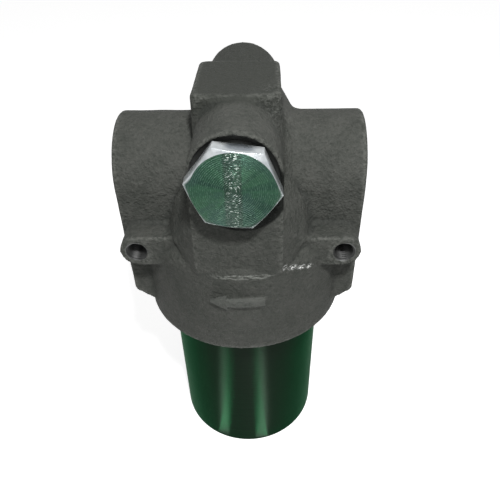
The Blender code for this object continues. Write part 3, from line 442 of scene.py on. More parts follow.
@dataclass(frozen=True)
class BowlCoat:
    """Glossy very dark green coat over a turned steel cup, with a painted green reflection at its rims."""

    name: str = "dark_green_bowl_coat"
    deep: Colour = (0.0112, 0.0122, 0.0108)
    teal: Colour = (0.0098, 0.0130, 0.0104)
    # Green of the painted reflection at the rims.
    green: Colour = (0.0036, 0.0050, 0.0040)
    tint: tuple[float, float, float, float] = (0.45, 0.68, 0.52, 1.0)
    turning_pitch: float = 0.0011
    streak_size: float = 0.010
    cloud_size: float = 0.030
    ring_size: float = 0.0009
    ring_depth: float = 0.00005

    def material(self) -> bpy.types.Material:
        """Build the material.

        Returns:
            The material.
        """
        material, bench = new_material(self.name)
        _, _, height = bench.parts(bench.place())
        streak = bench.grain(self.streak_size, 4.0, (1.0, 1.0, 0.18))
        cloud = bench.grain(self.cloud_size)
        rings = (height * (2.0 * math.pi / self.turning_pitch) + streak * 5.0).sine()
        fine_rings = bench.grain(self.ring_size, 2.0, (0.04, 0.04, 1.0))
        # Painted reflection: the colour turns green towards the rims.
        painted_rim_reflection = bench.shade("ShaderNodeLayerWeight", {"Blend": 0.5}, "Facing").step(0.45, 1.0)
        colour = bench.blend(painted_rim_reflection, bench.blend(cloud, self.deep, self.teal), self.green)
        bench.surface(
            {
                "Base Color": colour,
                "Roughness": 0.33 + streak * 0.08,
                "Metallic": 1.0,
                "Normal": bench.relief(rings * 0.3 + fine_rings, self.ring_depth),
                "Specular Tint": self.tint,
                "Anisotropic": 0.9,
                "Anisotropic Rotation": 0.25,
            }
        )
        return material


@dataclass(frozen=True)
class TurnedPlug:
    """Turned steel with rings round the plug's axis; its front face has a painted green reflection with
    painted highlights and glints.
    """

    name: str = "turned_plug_steel"
    steel: Colour = (0.56, 0.59, 0.60)
    # Darker steel for stains, and for a painted reflection on the top flat.
    stain_and_reflection_steel: Colour = (0.15, 0.175, 0.205)
    # Colours of the painted reflection, highlights and glints on the front face.
    green: Colour = (0.029, 0.082, 0.046)
    deep_reflected_green: Colour = (0.015, 0.043, 0.030)
    dark_band_reflection: Colour = (0.016, 0.028, 0.022)
    teal: Colour = (0.025, 0.057, 0.046)
    ring_highlight_green: Colour = (0.11, 0.21, 0.15)
    glint: Colour = (0.55, 0.60, 0.57)
    reflection_patch_place: Point = (0.0035, -0.0712, BOSS_AXIS + 0.0205)
    reflection_patch_reach: float = 0.0085
    ring_pitch: float = 0.00095
    wobble_size: float = 0.004
    cloud_size: float = 0.013
    stain_size: float = 0.006
    fine_size: float = 0.0009
    middle_edge: Pair = (0.0036, 0.0048)
    band_edge: Pair = (0.0012, 0.0046)
    depth: float = 0.00016

    def material(self) -> bpy.types.Material:
        """Build the material.

        Returns:
            The material.
        """
        material, bench = new_material(self.name)
        across, _, height = bench.parts(bench.place())
        raised = height - BOSS_AXIS
        reach = (across * across + raised * raised).root()
        off_middle = (across * across).root()
        wobble = bench.grain(self.wobble_size)
        rings = (reach * (2.0 * math.pi / self.ring_pitch) + wobble * 4.0).sine()
        chatter = bench.noise_at(across * 680.0, raised * 680.0, reach * 1700.0)
        # Painted reflection: radial streaks across the turned face.
        radial_reflection_streaks = bench.noise_at(across / reach * 1.9, raised / reach * 1.9, 3.7)
        _, front, up = bench.facing()
        face = (0.0 - front).step(0.80, 0.88) * (1.0 - up.step(0.12, 0.22))
        # Painted reflection: the front face is tinted green, darker in a middle band, with bright ring lines
        # as painted highlights.
        painted_reflection_tinge = bench.blend(radial_reflection_streaks.step(0.36, 0.64), self.deep_reflected_green, self.green)
        painted_reflection_tinge = bench.blend(bench.grain(self.cloud_size).step(0.48, 0.62) * 0.7, painted_reflection_tinge, self.teal)
        middle = 1.0 - off_middle.step(*self.middle_edge)
        painted_reflection_tinge = bench.blend(middle * 0.7, painted_reflection_tinge, self.dark_band_reflection)
        ring_highlights = (rings * 0.5 + 0.5) * chatter.step(0.42, 0.62)
        painted_reflection_tinge = bench.blend(ring_highlights * 0.35, painted_reflection_tinge, self.ring_highlight_green)
        stain = bench.grain(self.stain_size).step(0.35, 0.7) * 0.4
        edge = bench.blend(stain, self.steel, self.stain_and_reflection_steel)
        # Painted reflection: a dark band across the top flat of the hexagon.
        painted_reflection_patch = bench.near(self.reflection_patch_place, self.reflection_patch_reach, (0.8, 1.6, 1.0)).step(0.1, 0.6)
        edge = bench.blend(painted_reflection_patch * 0.75, edge, self.stain_and_reflection_steel)
        # Painted highlight: glints in a band through the middle of the face.
        glint = chatter.step(0.59, 0.66) * (1.0 - off_middle.step(*self.band_edge)) * face
        grooves = (rings * 0.6 + chatter * 1.6) * face + bench.grain(self.fine_size) * 0.8
        bench.surface(
            {
                "Base Color": bench.blend(glint, bench.blend(face, edge, painted_reflection_tinge), self.glint),
                "Roughness": 0.22 + wobble * 0.14,
                "Metallic": 0.92,
                "Normal": bench.relief(grooves, self.depth),
            }
        )
        return material


@dataclass(frozen=True)
class PlainMetal:
    """Machined or plated steel of the inner pieces."""

    name: str
    colour: Colour
    roughness: float
    grain_size: float = 0.0012
    depth: float = 0.00005
    stretch: Point = (1.0, 1.0, 1.0)
    grain_layers: float = 3.0
    grain_gloss: float = 0.16
    film_size: float = 0.008
    film_shade: float = 0.72
    film_gloss: float = 0.0
    metallic: float = 0.95

    def material(self) -> bpy.types.Material:
        """Build the material.

        Returns:
            The material.
        """
        material, bench = new_material(self.name)
        marks = bench.grain(self.grain_size, self.grain_layers, self.stretch)
        film = bench.grain(self.film_size, 4.0)
        shaded = tuple(self.film_shade * part for part in self.colour)
        bench.surface(
            {
                "Base Color": bench.blend(film, shaded, self.colour),
                "Roughness": self.roughness + marks * self.grain_gloss + film * self.film_gloss,
                "Metallic": self.metallic,
                "Normal": bench.relief(marks, self.depth),
            }
        )
        return material


@dataclass(frozen=True)
class BoredIron(PlainMetal):
    """Machined grey iron inside bores and threads."""

    name: str = "bored_iron"
    colour: Colour = (0.125, 0.13, 0.125)
    roughness: float = 0.42
    grain_size: float = 0.0006
    depth: float = 0.0001
    grain_layers: float = 2.0
    grain_gloss: float = 0.0
    film_size: float = 0.006
    film_shade: float = 0.6
    film_gloss: float = 0.2
    metallic: float = 0.7


@dataclass(frozen=True)
class SoftMatt(PlainMetal):
    """Rubber, seal plastic or fleece."""

    grain_gloss: float = 0.12
    film_size: float = 0.005
    film_shade: float = 0.75
    metallic: float = 0.0


class MeshShop:
    """Mesh operations that the pieces share."""

    @staticmethod
    def make(name: str, shape: bmesh.types.BMesh) -> bpy.types.Object:
        """Put a mesh in the scene.

        Args:
            name: Name of the piece.
            shape: Its mesh, which is freed.

        Returns:
            The piece.
        """
        bmesh.ops.recalc_face_normals(shape, faces=shape.faces)
        mesh = bpy.data.meshes.new(name)
        shape.to_mesh(mesh)
        shape.free()
        piece = bpy.data.objects.new(name, mesh)
        bpy.context.scene.collection.objects.link(piece)
        return piece

    @staticmethod
    def node_copy(node: str) -> bmesh.types.BMesh:
        """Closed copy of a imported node's mesh.

        Args:
            node: The node's name.

        Returns:
            The copy.
        """
        shape = bmesh.new()
        shape.from_mesh(bpy.data.objects[node].data)
        bmesh.ops.remove_doubles(shape, verts=shape.verts, dist=SEAM)
        return shape

    @staticmethod
    def rod(place: Matrix, radius: float, low: float, high: float) -> bmesh.types.BMesh:
        """Round bar along local Z.

        Args:
            place: Placement of its axis.
            radius: Its radius.
            low: Start along the axis.
            high: End along the axis.

        Returns:
            The mesh.
        """
        shape = bmesh.new()
        bmesh.ops.create_cone(
            shape,
            cap_ends=True,
            segments=BORE_SIDES,
            radius1=radius,
            radius2=radius,
            depth=high - low,
            matrix=place @ Matrix.Translation((0.0, 0.0, (low + high) / 2.0)),
        )
        return shape

    @staticmethod
    def lathe(
        profile: list[Pair],
        place: Matrix,
        steps: int,
        reach: Callable[[float, float, float], float] | None = None,
        ring: bool = False,
    ) -> bmesh.types.BMesh:
        """Revolve a profile about local Z.

        Args:
            profile: Points of radius and height; a radius of 0 closes the end.
            place: Placement of the axis.
            steps: Number of steps round.
            reach: Changes a radius by angle and height, as a thread does.
            ring: True where the profile is a closed loop.

        Returns:
            The mesh.
        """
        shape = bmesh.new()
        rows: list[list[bmesh.types.BMVert]] = []
        for radius, height in profile:
            if radius <= 0.0:
                rows.append([shape.verts.new(place @ Vector((0.0, 0.0, height)))])
                continue
            row = []
            for step in range(steps):
                angle = 2.0 * math.pi * step / steps
                here = reach(radius, angle, height) if reach else radius
                spot = Vector((here * math.cos(angle), here * math.sin(angle), height))
                row.append(shape.verts.new(place @ spot))
            rows.append(row)
        pairs = list(zip(rows, rows[1:]))
        if ring:
            pairs.append((rows[-1], rows[0]))
        for first, second in pairs:
            for step in range(steps):
                after = (step + 1) % steps
                corners = [first[step % len(first)], first[after % len(first)]]
                corners += [second[after % len(second)], second[step % len(second)]]
                unique = list(dict.fromkeys(corners))
                if len(unique) > 2:
                    shape.faces.new(unique)
        return shape

    @staticmethod
    def prism(outline: list[Pair], place: Matrix, low: float, high: float) -> bmesh.types.BMesh:
        """Extrude a flat outline along local Z.

        Args:
            outline: Its corners.
            place: Placement of the outline.
            low: Start along local Z.
            high: End along local Z.

        Returns:
            The mesh.
        """
        shape = bmesh.new()
        foot = [shape.verts.new(place @ Vector((x, y, low))) for x, y in outline]
        head = [shape.verts.new(place @ Vector((x, y, high))) for x, y in outline]
        shape.faces.new(foot)
        shape.faces.new(head)
        for index in range(len(outline)):
            after = (index + 1) % len(outline)
            shape.faces.new((foot[index], foot[after], head[after], head[index]))
        return shape

    @staticmethod
    def settle(piece: bpy.types.Object) -> None:
        """Apply a piece's modifiers to its mesh.

        Args:
            piece: The piece.
        """
        bpy.context.view_layer.update()
        evaluated = piece.evaluated_get(bpy.context.evaluated_depsgraph_get())
        mesh = bpy.data.meshes.new_from_object(evaluated)
        piece.modifiers.clear()
        piece.data = mesh

    @classmethod
    def carve(cls, piece: bpy.types.Object, tool: bpy.types.Object, cut: Cut) -> None:
        """Join, cut or intersect a piece with a tool, and remove the tool.

        Args:
            piece: The piece that changes.
            tool: The other solid.
            cut: What to do.
        """
        modifier = piece.modifiers.new("carve", "BOOLEAN")
        modifier.operation = cut.value
        modifier.solver = "EXACT"
        modifier.object = tool
        cls.settle(piece)
        bpy.data.objects.remove(tool, do_unlink=True)

    @classmethod
    def break_edges(cls, piece: bpy.types.Object, width: float, limit: float) -> None:
        """Round a piece's edges a little.

        Args:
            piece: The piece.
            width: Width of the rounding.
            limit: Smallest angle between faces that counts as an edge, in degrees.
        """
        bevel = piece.modifiers.new("broken edge", "BEVEL")
        bevel.width = width
        bevel.segments = 2
        bevel.limit_method = "ANGLE"
        bevel.angle_limit = math.radians(limit)
        cls.settle(piece)

    @staticmethod
    def shade(piece: bpy.types.Object, limit: float) -> None:
        """Shade a piece smooth and keep edges sharper than the limit in degrees."""
        piece.data.shade_smooth()
        piece.data.set_sharp_from_angle(angle=math.radians(limit))

    @staticmethod
    def paint(piece: bpy.types.Object, *materials: bpy.types.Material) -> None:
        """Give a piece its materials.

        Args:
            piece: The piece.
            materials: One for each slot of its mesh.
        """
        piece.data.materials.clear()
        for material in materials:
            piece.data.materials.append(material)


def thread_flank(angle: float, height: float, pitch: float) -> float:
    """How deep a thread with straight flanks is cut at a place, from 0 to 1."""
    turn = (height / pitch - angle / (2.0 * math.pi)) % 1.0
    return 1.0 - abs(2.0 * turn - 1.0)


class SkinPoints:
    """Vertices of a mesh as arrays, and the links between them."""

    def __init__(self, mesh: bpy.types.Mesh) -> None:
        """Read each edge both ways.

        Args:
            mesh: The mesh.
        """
        self.mesh = mesh
        ends = np.zeros(len(mesh.edges) * 2, dtype=np.int64)
        mesh.edges.foreach_get("vertices", ends)
        ends = ends.reshape(-1, 2)
        self.both = np.concatenate([ends, ends[:, ::-1]])
        count = np.bincount(self.both[:, 0], minlength=len(mesh.vertices))
        self.neighbours = np.maximum(count, 1).astype(float)

    def read(self, name: str) -> np.ndarray:
        """Read a vector of every vertex.

        Args:
            name: Blender's name of it, "co" or "normal".

        Returns:
            One row for each vertex.
        """
        values = np.zeros(len(self.mesh.vertices) * 3)
        self.mesh.vertices.foreach_get(name, values)
        return values.reshape(-1, 3)

    def move(self, places: np.ndarray) -> None:
        """Put every vertex at its new place."""
        self.mesh.vertices.foreach_set("co", places.ravel())
        self.mesh.update()

    def around(self, places: np.ndarray) -> np.ndarray:
        """Average the neighbours of each vertex.

        Args:
            places: Where the vertices are.

        Returns:
            The mean place of each one's neighbours.
        """
        start, end = self.both[:, 0], self.both[:, 1]
        total = [np.bincount(start, places[end, axis], len(places)) for axis in range(3)]
        return np.stack(total, axis=1) / self.neighbours[:, None]


@dataclass
class CastHead:
    """The head casting: soft cast skin outside, machined bores inside."""

    node: str = "filter_head"
    voxel: float = 0.0012
    smoothing_rounds: int = 4
    skin_waves: float = 0.00014
    rough_place: Point = CastSkin.scuff_place
    rough_reach: float = 0.018
    rough_depth: float = 0.00085
    gusset: tuple[Point, ...] = (
        (0.0100, -0.0400, 0.1900),
        (0.0232, -0.0640, 0.1890),
        (0.0248, -0.0624, 0.1915),
        (0.0375, -0.0500, 0.2030),
        (0.0420, -0.0340, 0.2030),
        (0.0360, -0.0350, 0.2230),
        (0.0260, -0.0330, 0.2380),
        (0.0232, -0.0637, 0.2230),
        (0.0100, -0.0400, 0.2360),
    )
    flare: tuple[Point, ...] = (
        (0.0150, -0.0120, 0.2500),
        (0.0150, 0.0300, 0.2400),
        (0.0232, -0.0120, 0.2625),
        (0.0232, 0.0300, 0.2625),
        (0.0308, -0.0120, 0.2565),
        (0.0308, 0.0300, 0.2415),
        (0.0308, 0.0150, 0.2540),
    )
    skirt_bottom: float = PORT_AXIS - 0.09465
    chamber_top: float = PORT_AXIS - 0.0385
    chamber_radius: float = 0.0545
    port_face: float = 0.071
    port_radius: float = 0.0290
    port_depth: float = 0.060
    boss_face: float = 0.064
    boss_radius: float = 0.0229
    boss_depth: float = 0.0385
    lug_x: float = 0.0599
    lug_z: float = PORT_AXIS - 0.0302
    lug_face: float = 0.0483
    lug_radius: float = 0.0068
    lug_depth: float = 0.026
    lug_end: float = 0.02
    core_low: Point = (-0.0465, -0.0205, PORT_AXIS - 0.0400)
    core_high: Point = (0.0415, 0.0205, PORT_AXIS - 0.0050)
    edge_rounds: int = 10
    edge_scale: float = 0.0016
    overcut: float = 0.003
    shrink: float = 0.52
    swell: float = -0.40
    wave_scale: float = 85.0
    ripple_scale: float = 310.0
    ripple_share: float = 0.35
    lump_scale: float = 420.0

    def plugs(self, beyond: float) -> list[bmesh.types.BMesh]:
        """Bars and a block that together fill every bore.

        Args:
            beyond: How far they stick out of the machined faces.

        Returns:
            One mesh for each.
        """
        chamber = Axis.UP.matrix((0.0, 0.0, 0.0))
        made = [MeshShop.rod(chamber, self.chamber_radius, self.skirt_bottom - beyond, self.chamber_top)]
        port, boss = (0.0, 0.0, PORT_AXIS), (0.0, 0.0, BOSS_AXIS)
        bores = [(axis, port, self.port_radius, self.port_face, self.port_depth) for axis in PORT_SIDES]
        bores.append((Axis.FRONT, boss, self.boss_radius, self.boss_face, self.boss_depth))
        for side in (-1.0, 1.0):
            lug = (side * self.lug_x, 0.0, self.lug_z)
            bores.append((Axis.FRONT, lug, self.lug_radius, self.lug_face, self.lug_depth))
        for axis, place, radius, face, depth in bores:
            made.append(MeshShop.rod(axis.matrix(place), radius, face - depth, face + beyond))
        core = bmesh.new()
        bmesh.ops.create_cube(core, size=1.0)
        low_corner, high_corner = Vector(self.core_low), Vector(self.core_high)
        bmesh.ops.scale(core, vec=high_corner - low_corner, verts=core.verts)
        bmesh.ops.translate(core, vec=(low_corner + high_corner) / 2.0, verts=core.verts)
        return made + [core]

    def raw_casting(self) -> bpy.types.Object:
        """Filled head as one even skin.

        Returns:
            The raw casting.
        """
        shape = MeshShop.node_copy(self.node)
        for plug in self.plugs(0.0):
            loose = bpy.data.meshes.new("plug")
            plug.to_mesh(loose)
            plug.free()
            shape.from_mesh(loose)
            bpy.data.meshes.remove(loose)
        for side, fill in ((-1.0, self.gusset), (1.0, self.gusset), (1.0, self.flare)):
            corners = [shape.verts.new((side * x, y, z)) for x, y, z in fill]
            bmesh.ops.convex_hull(shape, input=corners)
        casting = MeshShop.make("head_casting", shape)
        remesh = casting.modifiers.new("even skin", "REMESH")
        remesh.mode = "VOXEL"
        remesh.voxel_size = self.voxel
        MeshShop.settle(casting)
        self.keep_outer_skin(casting)
        return casting

    def keep_outer_skin(self, casting: bpy.types.Object) -> None:
        """Drop the skins of hollows that the plugs closed off.

        Args:
            casting: The casting, whose largest skin stays.
        """
        shape = bmesh.new()
        shape.from_mesh(casting.data)
        waiting = set(shape.verts)
        skins: list[list[bmesh.types.BMVert]] = []
        while waiting:
            skin = [waiting.pop()]
            for vertex in skin:
                for edge in vertex.link_edges:
                    other = edge.other_vert(vertex)
                    if other in waiting:
                        waiting.remove(other)
                        skin.append(other)
            skins.append(skin)
        skins.sort(key=len)
        inner = [vertex for skin in skins[:-1] for vertex in skin]
        bmesh.ops.delete(shape, geom=inner, context="VERTS")
        shape.to_mesh(casting.data)
        shape.free()

    def soften(self, casting: bpy.types.Object) -> None:
        """Round the edges and corners as a sand mould does, and wave the skin a little.

        Args:
            casting: The casting.
        """
        points = SkinPoints(casting.data)
        places = points.read("co")
        low, high = places.min(axis=0), places.max(axis=0)
        for _ in range(self.smoothing_rounds):
            for factor in (self.shrink, self.swell):
                places = places + factor * (points.around(places) - places)
        points.move(places)
        waves, ripples, lumps = (
            np.array([noise.noise(Vector(spot) * scale) for spot in places])
            for scale in (self.wave_scale, self.ripple_scale, self.lump_scale)
        )
        lift = self.skin_waves * (waves + self.ripple_share * ripples)
        away = np.linalg.norm(places - np.array(self.rough_place), axis=1) / self.rough_reach
        lift += self.rough_depth * lumps * np.clip(1.3 - 1.3 * away, 0.0, 1.0)
        points.move(np.clip(places + points.read("normal") * lift[:, None], low, high))

    def mark_edges(self, casting: bpy.types.Object) -> None:
        """Keep how far each vertex stands proud of its surroundings, 0.5 where it is level.

        Args:
            casting: The casting.
        """
        points = SkinPoints(casting.data)
        places = points.read("co")
        settled = places
        for _ in range(self.edge_rounds):
            settled = points.around(settled)
        proud = ((places - settled) * points.read("normal")).sum(axis=1) / self.edge_scale
        proud = np.clip(0.5 + proud, 0.0, 1.0)
        layer = casting.data.attributes.new("edge_curve", "FLOAT", "POINT")
        layer.data.foreach_set("value", proud.astype(np.float32))

    def hollow(self) -> bpy.types.Object:
        """The space of all the bores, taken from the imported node.

        Returns:
            The cutter.
        """
        pieces = [MeshShop.make("plug", plug) for plug in self.plugs(self.overcut)]
        space = pieces[0]
        for piece in pieces[1:]:
            MeshShop.carve(space, piece, Cut.JOIN)
        MeshShop.carve(space, MeshShop.make("solid", MeshShop.node_copy(self.node)), Cut.REMOVE)
        return space

    def darken_lug_holes(self, casting: bpy.types.Object) -> None:
        """Give the walls of the two lug holes a darker finish, which paints the shade inside them.

        Args:
            casting: The casting, with the machined finish in slot 1 and this one in slot 2.
        """
        inner = self.lug_x - 2.0 * self.lug_radius
        for face in casting.data.polygons:
            across, depth, _ = face.center
            if face.material_index == 1 and abs(across) > inner and -self.lug_face < depth < -self.lug_end:
                face.material_index = 2

    def build(
        self, skin: bpy.types.Material, bored: bpy.types.Material, lug_bore: bpy.types.Material
    ) -> bpy.types.Object:
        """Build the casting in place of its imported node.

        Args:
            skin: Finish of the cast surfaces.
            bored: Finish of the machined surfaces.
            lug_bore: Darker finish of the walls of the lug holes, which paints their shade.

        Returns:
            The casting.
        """
        casting = self.raw_casting()
        self.soften(casting)
        MeshShop.paint(casting, skin, bored, lug_bore)
        space = self.hollow()
        MeshShop.paint(space, skin, bored, lug_bore)
        space.data.polygons.foreach_set("material_index", [1] * len(space.data.polygons))
        MeshShop.carve(casting, space, Cut.REMOVE)
        self.mark_edges(casting)
        self.darken_lug_holes(casting)
        MeshShop.shade(casting, 40.0)
        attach(casting, "head")
        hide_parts(self.node)
        return casting


@dataclass
class FlowArrow:
    """Raised arrow on the front of the skirt, pointing to the outlet side."""

    height: float = PORT_AXIS - 0.0523
    tip: float = 0.0174
    head: float = 0.0100
    tail: float = 0.0147
    head_half: float = 0.0047
    shaft_half: float = 0.0025
    skirt_radius: float = 0.06625
    relief: float = 0.0027
    root: float = 0.0035
    slack: float = 0.012
    reach: float = 0.08
    edge: float = 0.0002
    wear: float = 0.5
    steps: int = 256

    def build(self, skin: bpy.types.Material) -> bpy.types.Object:
        """Build the arrow.

        Args:
            skin: Finish of the cast surfaces.

        Returns:
            The arrow.
        """
        neck = -self.tip + self.head
        edge = [(neck, self.head_half), (neck, self.shaft_half), (self.tail, self.shaft_half)]
        outline = [(-self.tip, 0.0)] + [(x, -y) for x, y in edge] + edge[::-1]
        place = Axis.FRONT.matrix((0.0, 0.0, self.height))
        blank = MeshShop.prism(outline, place, self.skirt_radius - self.root, self.reach)
        arrow = MeshShop.make("flow_arrow_relief", blank)
        top, low = self.height + self.slack, self.height - self.slack
        face = self.skirt_radius + self.relief
        round_front = [(0.0, top), (face, top), (face, low), (0.0, low)]
        drum = MeshShop.lathe(round_front, Matrix.Identity(4), self.steps)
        MeshShop.carve(arrow, MeshShop.make("drum", drum), Cut.KEEP_COMMON)
        MeshShop.break_edges(arrow, self.edge, 40.0)
        MeshShop.paint(arrow, skin)
        level = arrow.data.attributes.new("edge_curve", "FLOAT", "POINT")
        level.data.foreach_set("value", [self.wear] * len(arrow.data.vertices))
        MeshShop.shade(arrow, 50.0)
        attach(arrow, "head")
        return arrow


@dataclass
class ThreadLiner:
    """Internal thread cut in a bore of the head."""

    name: str
    axis: Axis
    place: Point
    start: float
    length: float
    bore_radius: float
    depth: float
    pitch: float
    steps: int = 64
    rows_per_turn: int = 6
    back_wall: float = 0.0003

    def reach(self, radius: float, angle: float, height: float) -> float:
        """Radius of the thread's flank at a place.

        Args:
            radius: Radius of the row, which marks thread or back wall.
            angle: Angle round the axis.
            height: Height along the axis.

        Returns:
            The radius there.
        """
        if radius > self.bore_radius:
            return radius
        return self.bore_radius - self.depth * thread_flank(angle, height, self.pitch)

    def build(self, bored: bpy.types.Material) -> bpy.types.Object:
        """Build the thread.

        Args:
            bored: Finish of the machined surfaces.

        Returns:
            The thread.
        """
        rows = max(4, round(self.length / self.pitch * self.rows_per_turn))
        heights = [self.start + self.length * row / rows for row in range(rows + 1)]
        back = self.bore_radius + self.back_wall
        profile = [(self.bore_radius, height) for height in heights]
        profile += [(back, heights[-1]), (back, heights[0])]
        shape = MeshShop.lathe(profile, self.axis.matrix(self.place), self.steps, self.reach, ring=True)
        thread = MeshShop.make(self.name, shape)
        MeshShop.paint(thread, bored)
        MeshShop.shade(thread, 60.0)
        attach(thread, "head")
        return thread


@dataclass
class BowlShell:
    """Turned steel cup with its pilot, seal groove and outside thread."""

    node: str = "filter_bowl"
    radius: float = 0.0522
    bore: float = 0.0435
    floor: float = 0.014
    floor_round: float = 0.006
    base_round: float = 0.0018
    rim: float = PORT_AXIS - 0.046
    pilot_radius: float = 0.0500
    pilot_foot: float = PORT_AXIS - 0.064
    rim_chamfer: float = 0.0008
    groove_top: float = PORT_AXIS - 0.051
    groove_width: float = 0.0058
    groove_depth: float = 0.0028
    thread_low: float = PORT_AXIS - 0.0930
    thread_high: float = PORT_AXIS - 0.0680
    thread_depth: float = 0.0012
    thread_pitch: float = 0.003
    run_out: float = 0.0015
    wall_rows: tuple[float, ...] = (0.09, 0.05, 0.015)
    base_ring: float = 0.030
    rows_per_turn: int = 8
    steps: int = 144

    def reach(self, radius: float, angle: float, height: float) -> float:
        """Radius of the outside wall, with the thread cut into it.

        Args:
            radius: Radius of the plain wall.
            angle: Angle round the axis.
            height: Height above the base.

        Returns:
            The radius there.
        """
        if radius < self.radius - SEAM or not self.thread_low < height < self.thread_high:
            return radius
        fade = min(height - self.thread_low, self.thread_high - height) / self.run_out
        return radius - self.thread_depth * min(1.0, fade) * thread_flank(angle, height, self.thread_pitch)

    def quarter(self, centre: Pair, radius: float, start: float) -> list[Pair]:
        """Points of a quarter round that runs clockwise from a starting angle in degrees."""
        angles = [math.radians(start - 90.0 * step / 6) for step in range(7)]
        return [(centre[0] + radius * math.cos(a), centre[1] + radius * math.sin(a)) for a in angles]

    def profile(self) -> list[Pair]:
        """Outline of the wall, from the middle of the inner floor round to the middle of the base.

        Returns:
            Points of radius and height.
        """
        cone = self.radius - self.pilot_radius
        low = self.groove_top - self.groove_width
        groove = self.pilot_radius - self.groove_depth
        centre = (self.bore - self.floor_round, self.floor + self.floor_round)
        points = [(0.0, self.floor)] + self.quarter(centre, self.floor_round, 0.0)[::-1]
        points += [(self.bore, self.rim), (self.pilot_radius - self.rim_chamfer, self.rim)]
        points += [(self.pilot_radius, self.rim - self.rim_chamfer)]
        points += [(self.pilot_radius, self.groove_top), (groove, self.groove_top)]
        points += [(groove, low), (self.pilot_radius, low), (self.pilot_radius, self.pilot_foot)]
        points += [(self.radius, self.pilot_foot - cone)]
        rows = round((self.thread_high - self.thread_low) / self.thread_pitch * self.rows_per_turn)
        step = (self.thread_high - self.thread_low) / rows
        points += [(self.radius, self.thread_high - step * row) for row in range(rows + 1)]
        points += [(self.radius, row) for row in self.wall_rows]
        points += self.quarter((self.radius - self.base_round, self.base_round), self.base_round, 0.0)
        points += [(self.base_ring, 0.0), (0.0, 0.0)]
        return points

    def build(self, coat: bpy.types.Material) -> bpy.types.Object:
        """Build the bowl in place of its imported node.

        Args:
            coat: Finish of the bowl.

        Returns:
            The bowl.
        """
        shape = MeshShop.lathe(self.profile(), Matrix.Identity(4), self.steps, self.reach)
        shell = MeshShop.make("bowl_shell", shape)
        MeshShop.paint(shell, coat)
        MeshShop.shade(shell, 32.0)
        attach(shell, "bowl")
        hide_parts(self.node)
        return shell


@dataclass
class PortPlug:
    """Hexagon head screw plug of the front boss."""

    node: str = "indicator_port_plug"
    across_flats: float = 0.041
    turn: float = math.radians(-7.83)
    face_radius: float = 0.0202
    chamfer_slope: float = math.tan(math.radians(26))
    face: float = 0.0762
    foot: float = 0.0682
    collar_radius: float = 0.0185
    collar_foot: float = 0.0651
    shank_radius: float = 0.01485
    shank_end: float = 0.0455
    corner_slack: float = 0.0005
    flat_slack: float = 0.01
    edge: float = 0.00050
    steps: int = 180

    def build(self, steel: bpy.types.Material) -> bpy.types.Object:
        """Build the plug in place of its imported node.

        Args:
            steel: Its finish.

        Returns:
            The plug.
        """
        place = Axis.FRONT.matrix((0.0, 0.0, BOSS_AXIS))
        corner = self.across_flats / math.sqrt(3.0)
        rim = corner + self.corner_slack
        shoulder = self.face - (rim - self.face_radius) * self.chamfer_slope
        blank = [(0.0, self.face), (self.face_radius, self.face), (rim, shoulder), (rim, self.foot)]
        blank += [(self.collar_radius, self.foot), (self.collar_radius, self.collar_foot)]
        blank += [(self.shank_radius, self.collar_foot), (self.shank_radius, self.shank_end)]
        blank += [(0.0, self.shank_end)]
        plug = MeshShop.make("plug_head", MeshShop.lathe(blank, place, self.steps))
        sides = [self.turn + math.pi / 3.0 * side for side in range(6)]
        outline = [(corner * math.cos(angle), corner * math.sin(angle)) for angle in sides]
        low, high = self.shank_end - self.flat_slack, self.face + self.flat_slack
        flats = MeshShop.prism(outline, place, low, high)
        MeshShop.carve(plug, MeshShop.make("flats", flats), Cut.KEEP_COMMON)
        MeshShop.break_edges(plug, self.edge, 18.0)
        MeshShop.paint(plug, steel)
        MeshShop.shade(plug, 40.0)
        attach(plug, "head")
        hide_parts(self.node)
        return plug


@dataclass
class PackedPiece:
    """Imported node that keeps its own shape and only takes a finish."""

    node: str
    crisp_angle: float = math.radians(35.0)

    def dress(self, material: bpy.types.Material) -> None:
        """Give the node its finish and even shading.

        Args:
            material: The finish.
        """
        piece = bpy.data.objects[self.node]
        MeshShop.paint(piece, material)
        if "custom_normal" in piece.data.attributes:
            piece.data.attributes.remove(piece.data.attributes["custom_normal"])
        piece.data.shade_smooth()
        weld = piece.modifiers.new("close seams", "WELD")
        weld.merge_threshold = SEAM
        split = piece.modifiers.new("crisp edges", "EDGE_SPLIT")
        split.split_angle = self.crisp_angle
        LOG.info("dressed %s", self.node)


@dataclass
class BypassSpring:
    """The spring under the bypass poppet."""

    node: str = "bypass_spring"
    joint: str = "bypass_lift"
    lift: float = 0.005

    def shorten(self) -> None:
        """Give the spring its own copy of its mesh."""
        spring = bpy.data.objects[self.node]
        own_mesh(spring)


def direction(azimuth: float, elevation: float) -> Vector:
    """Unit vector out to the front, turned to the right and raised by angles in radians."""
    level = math.cos(elevation)
    return Vector((math.sin(azimuth) * level, -math.cos(azimuth) * level, math.sin(elevation)))


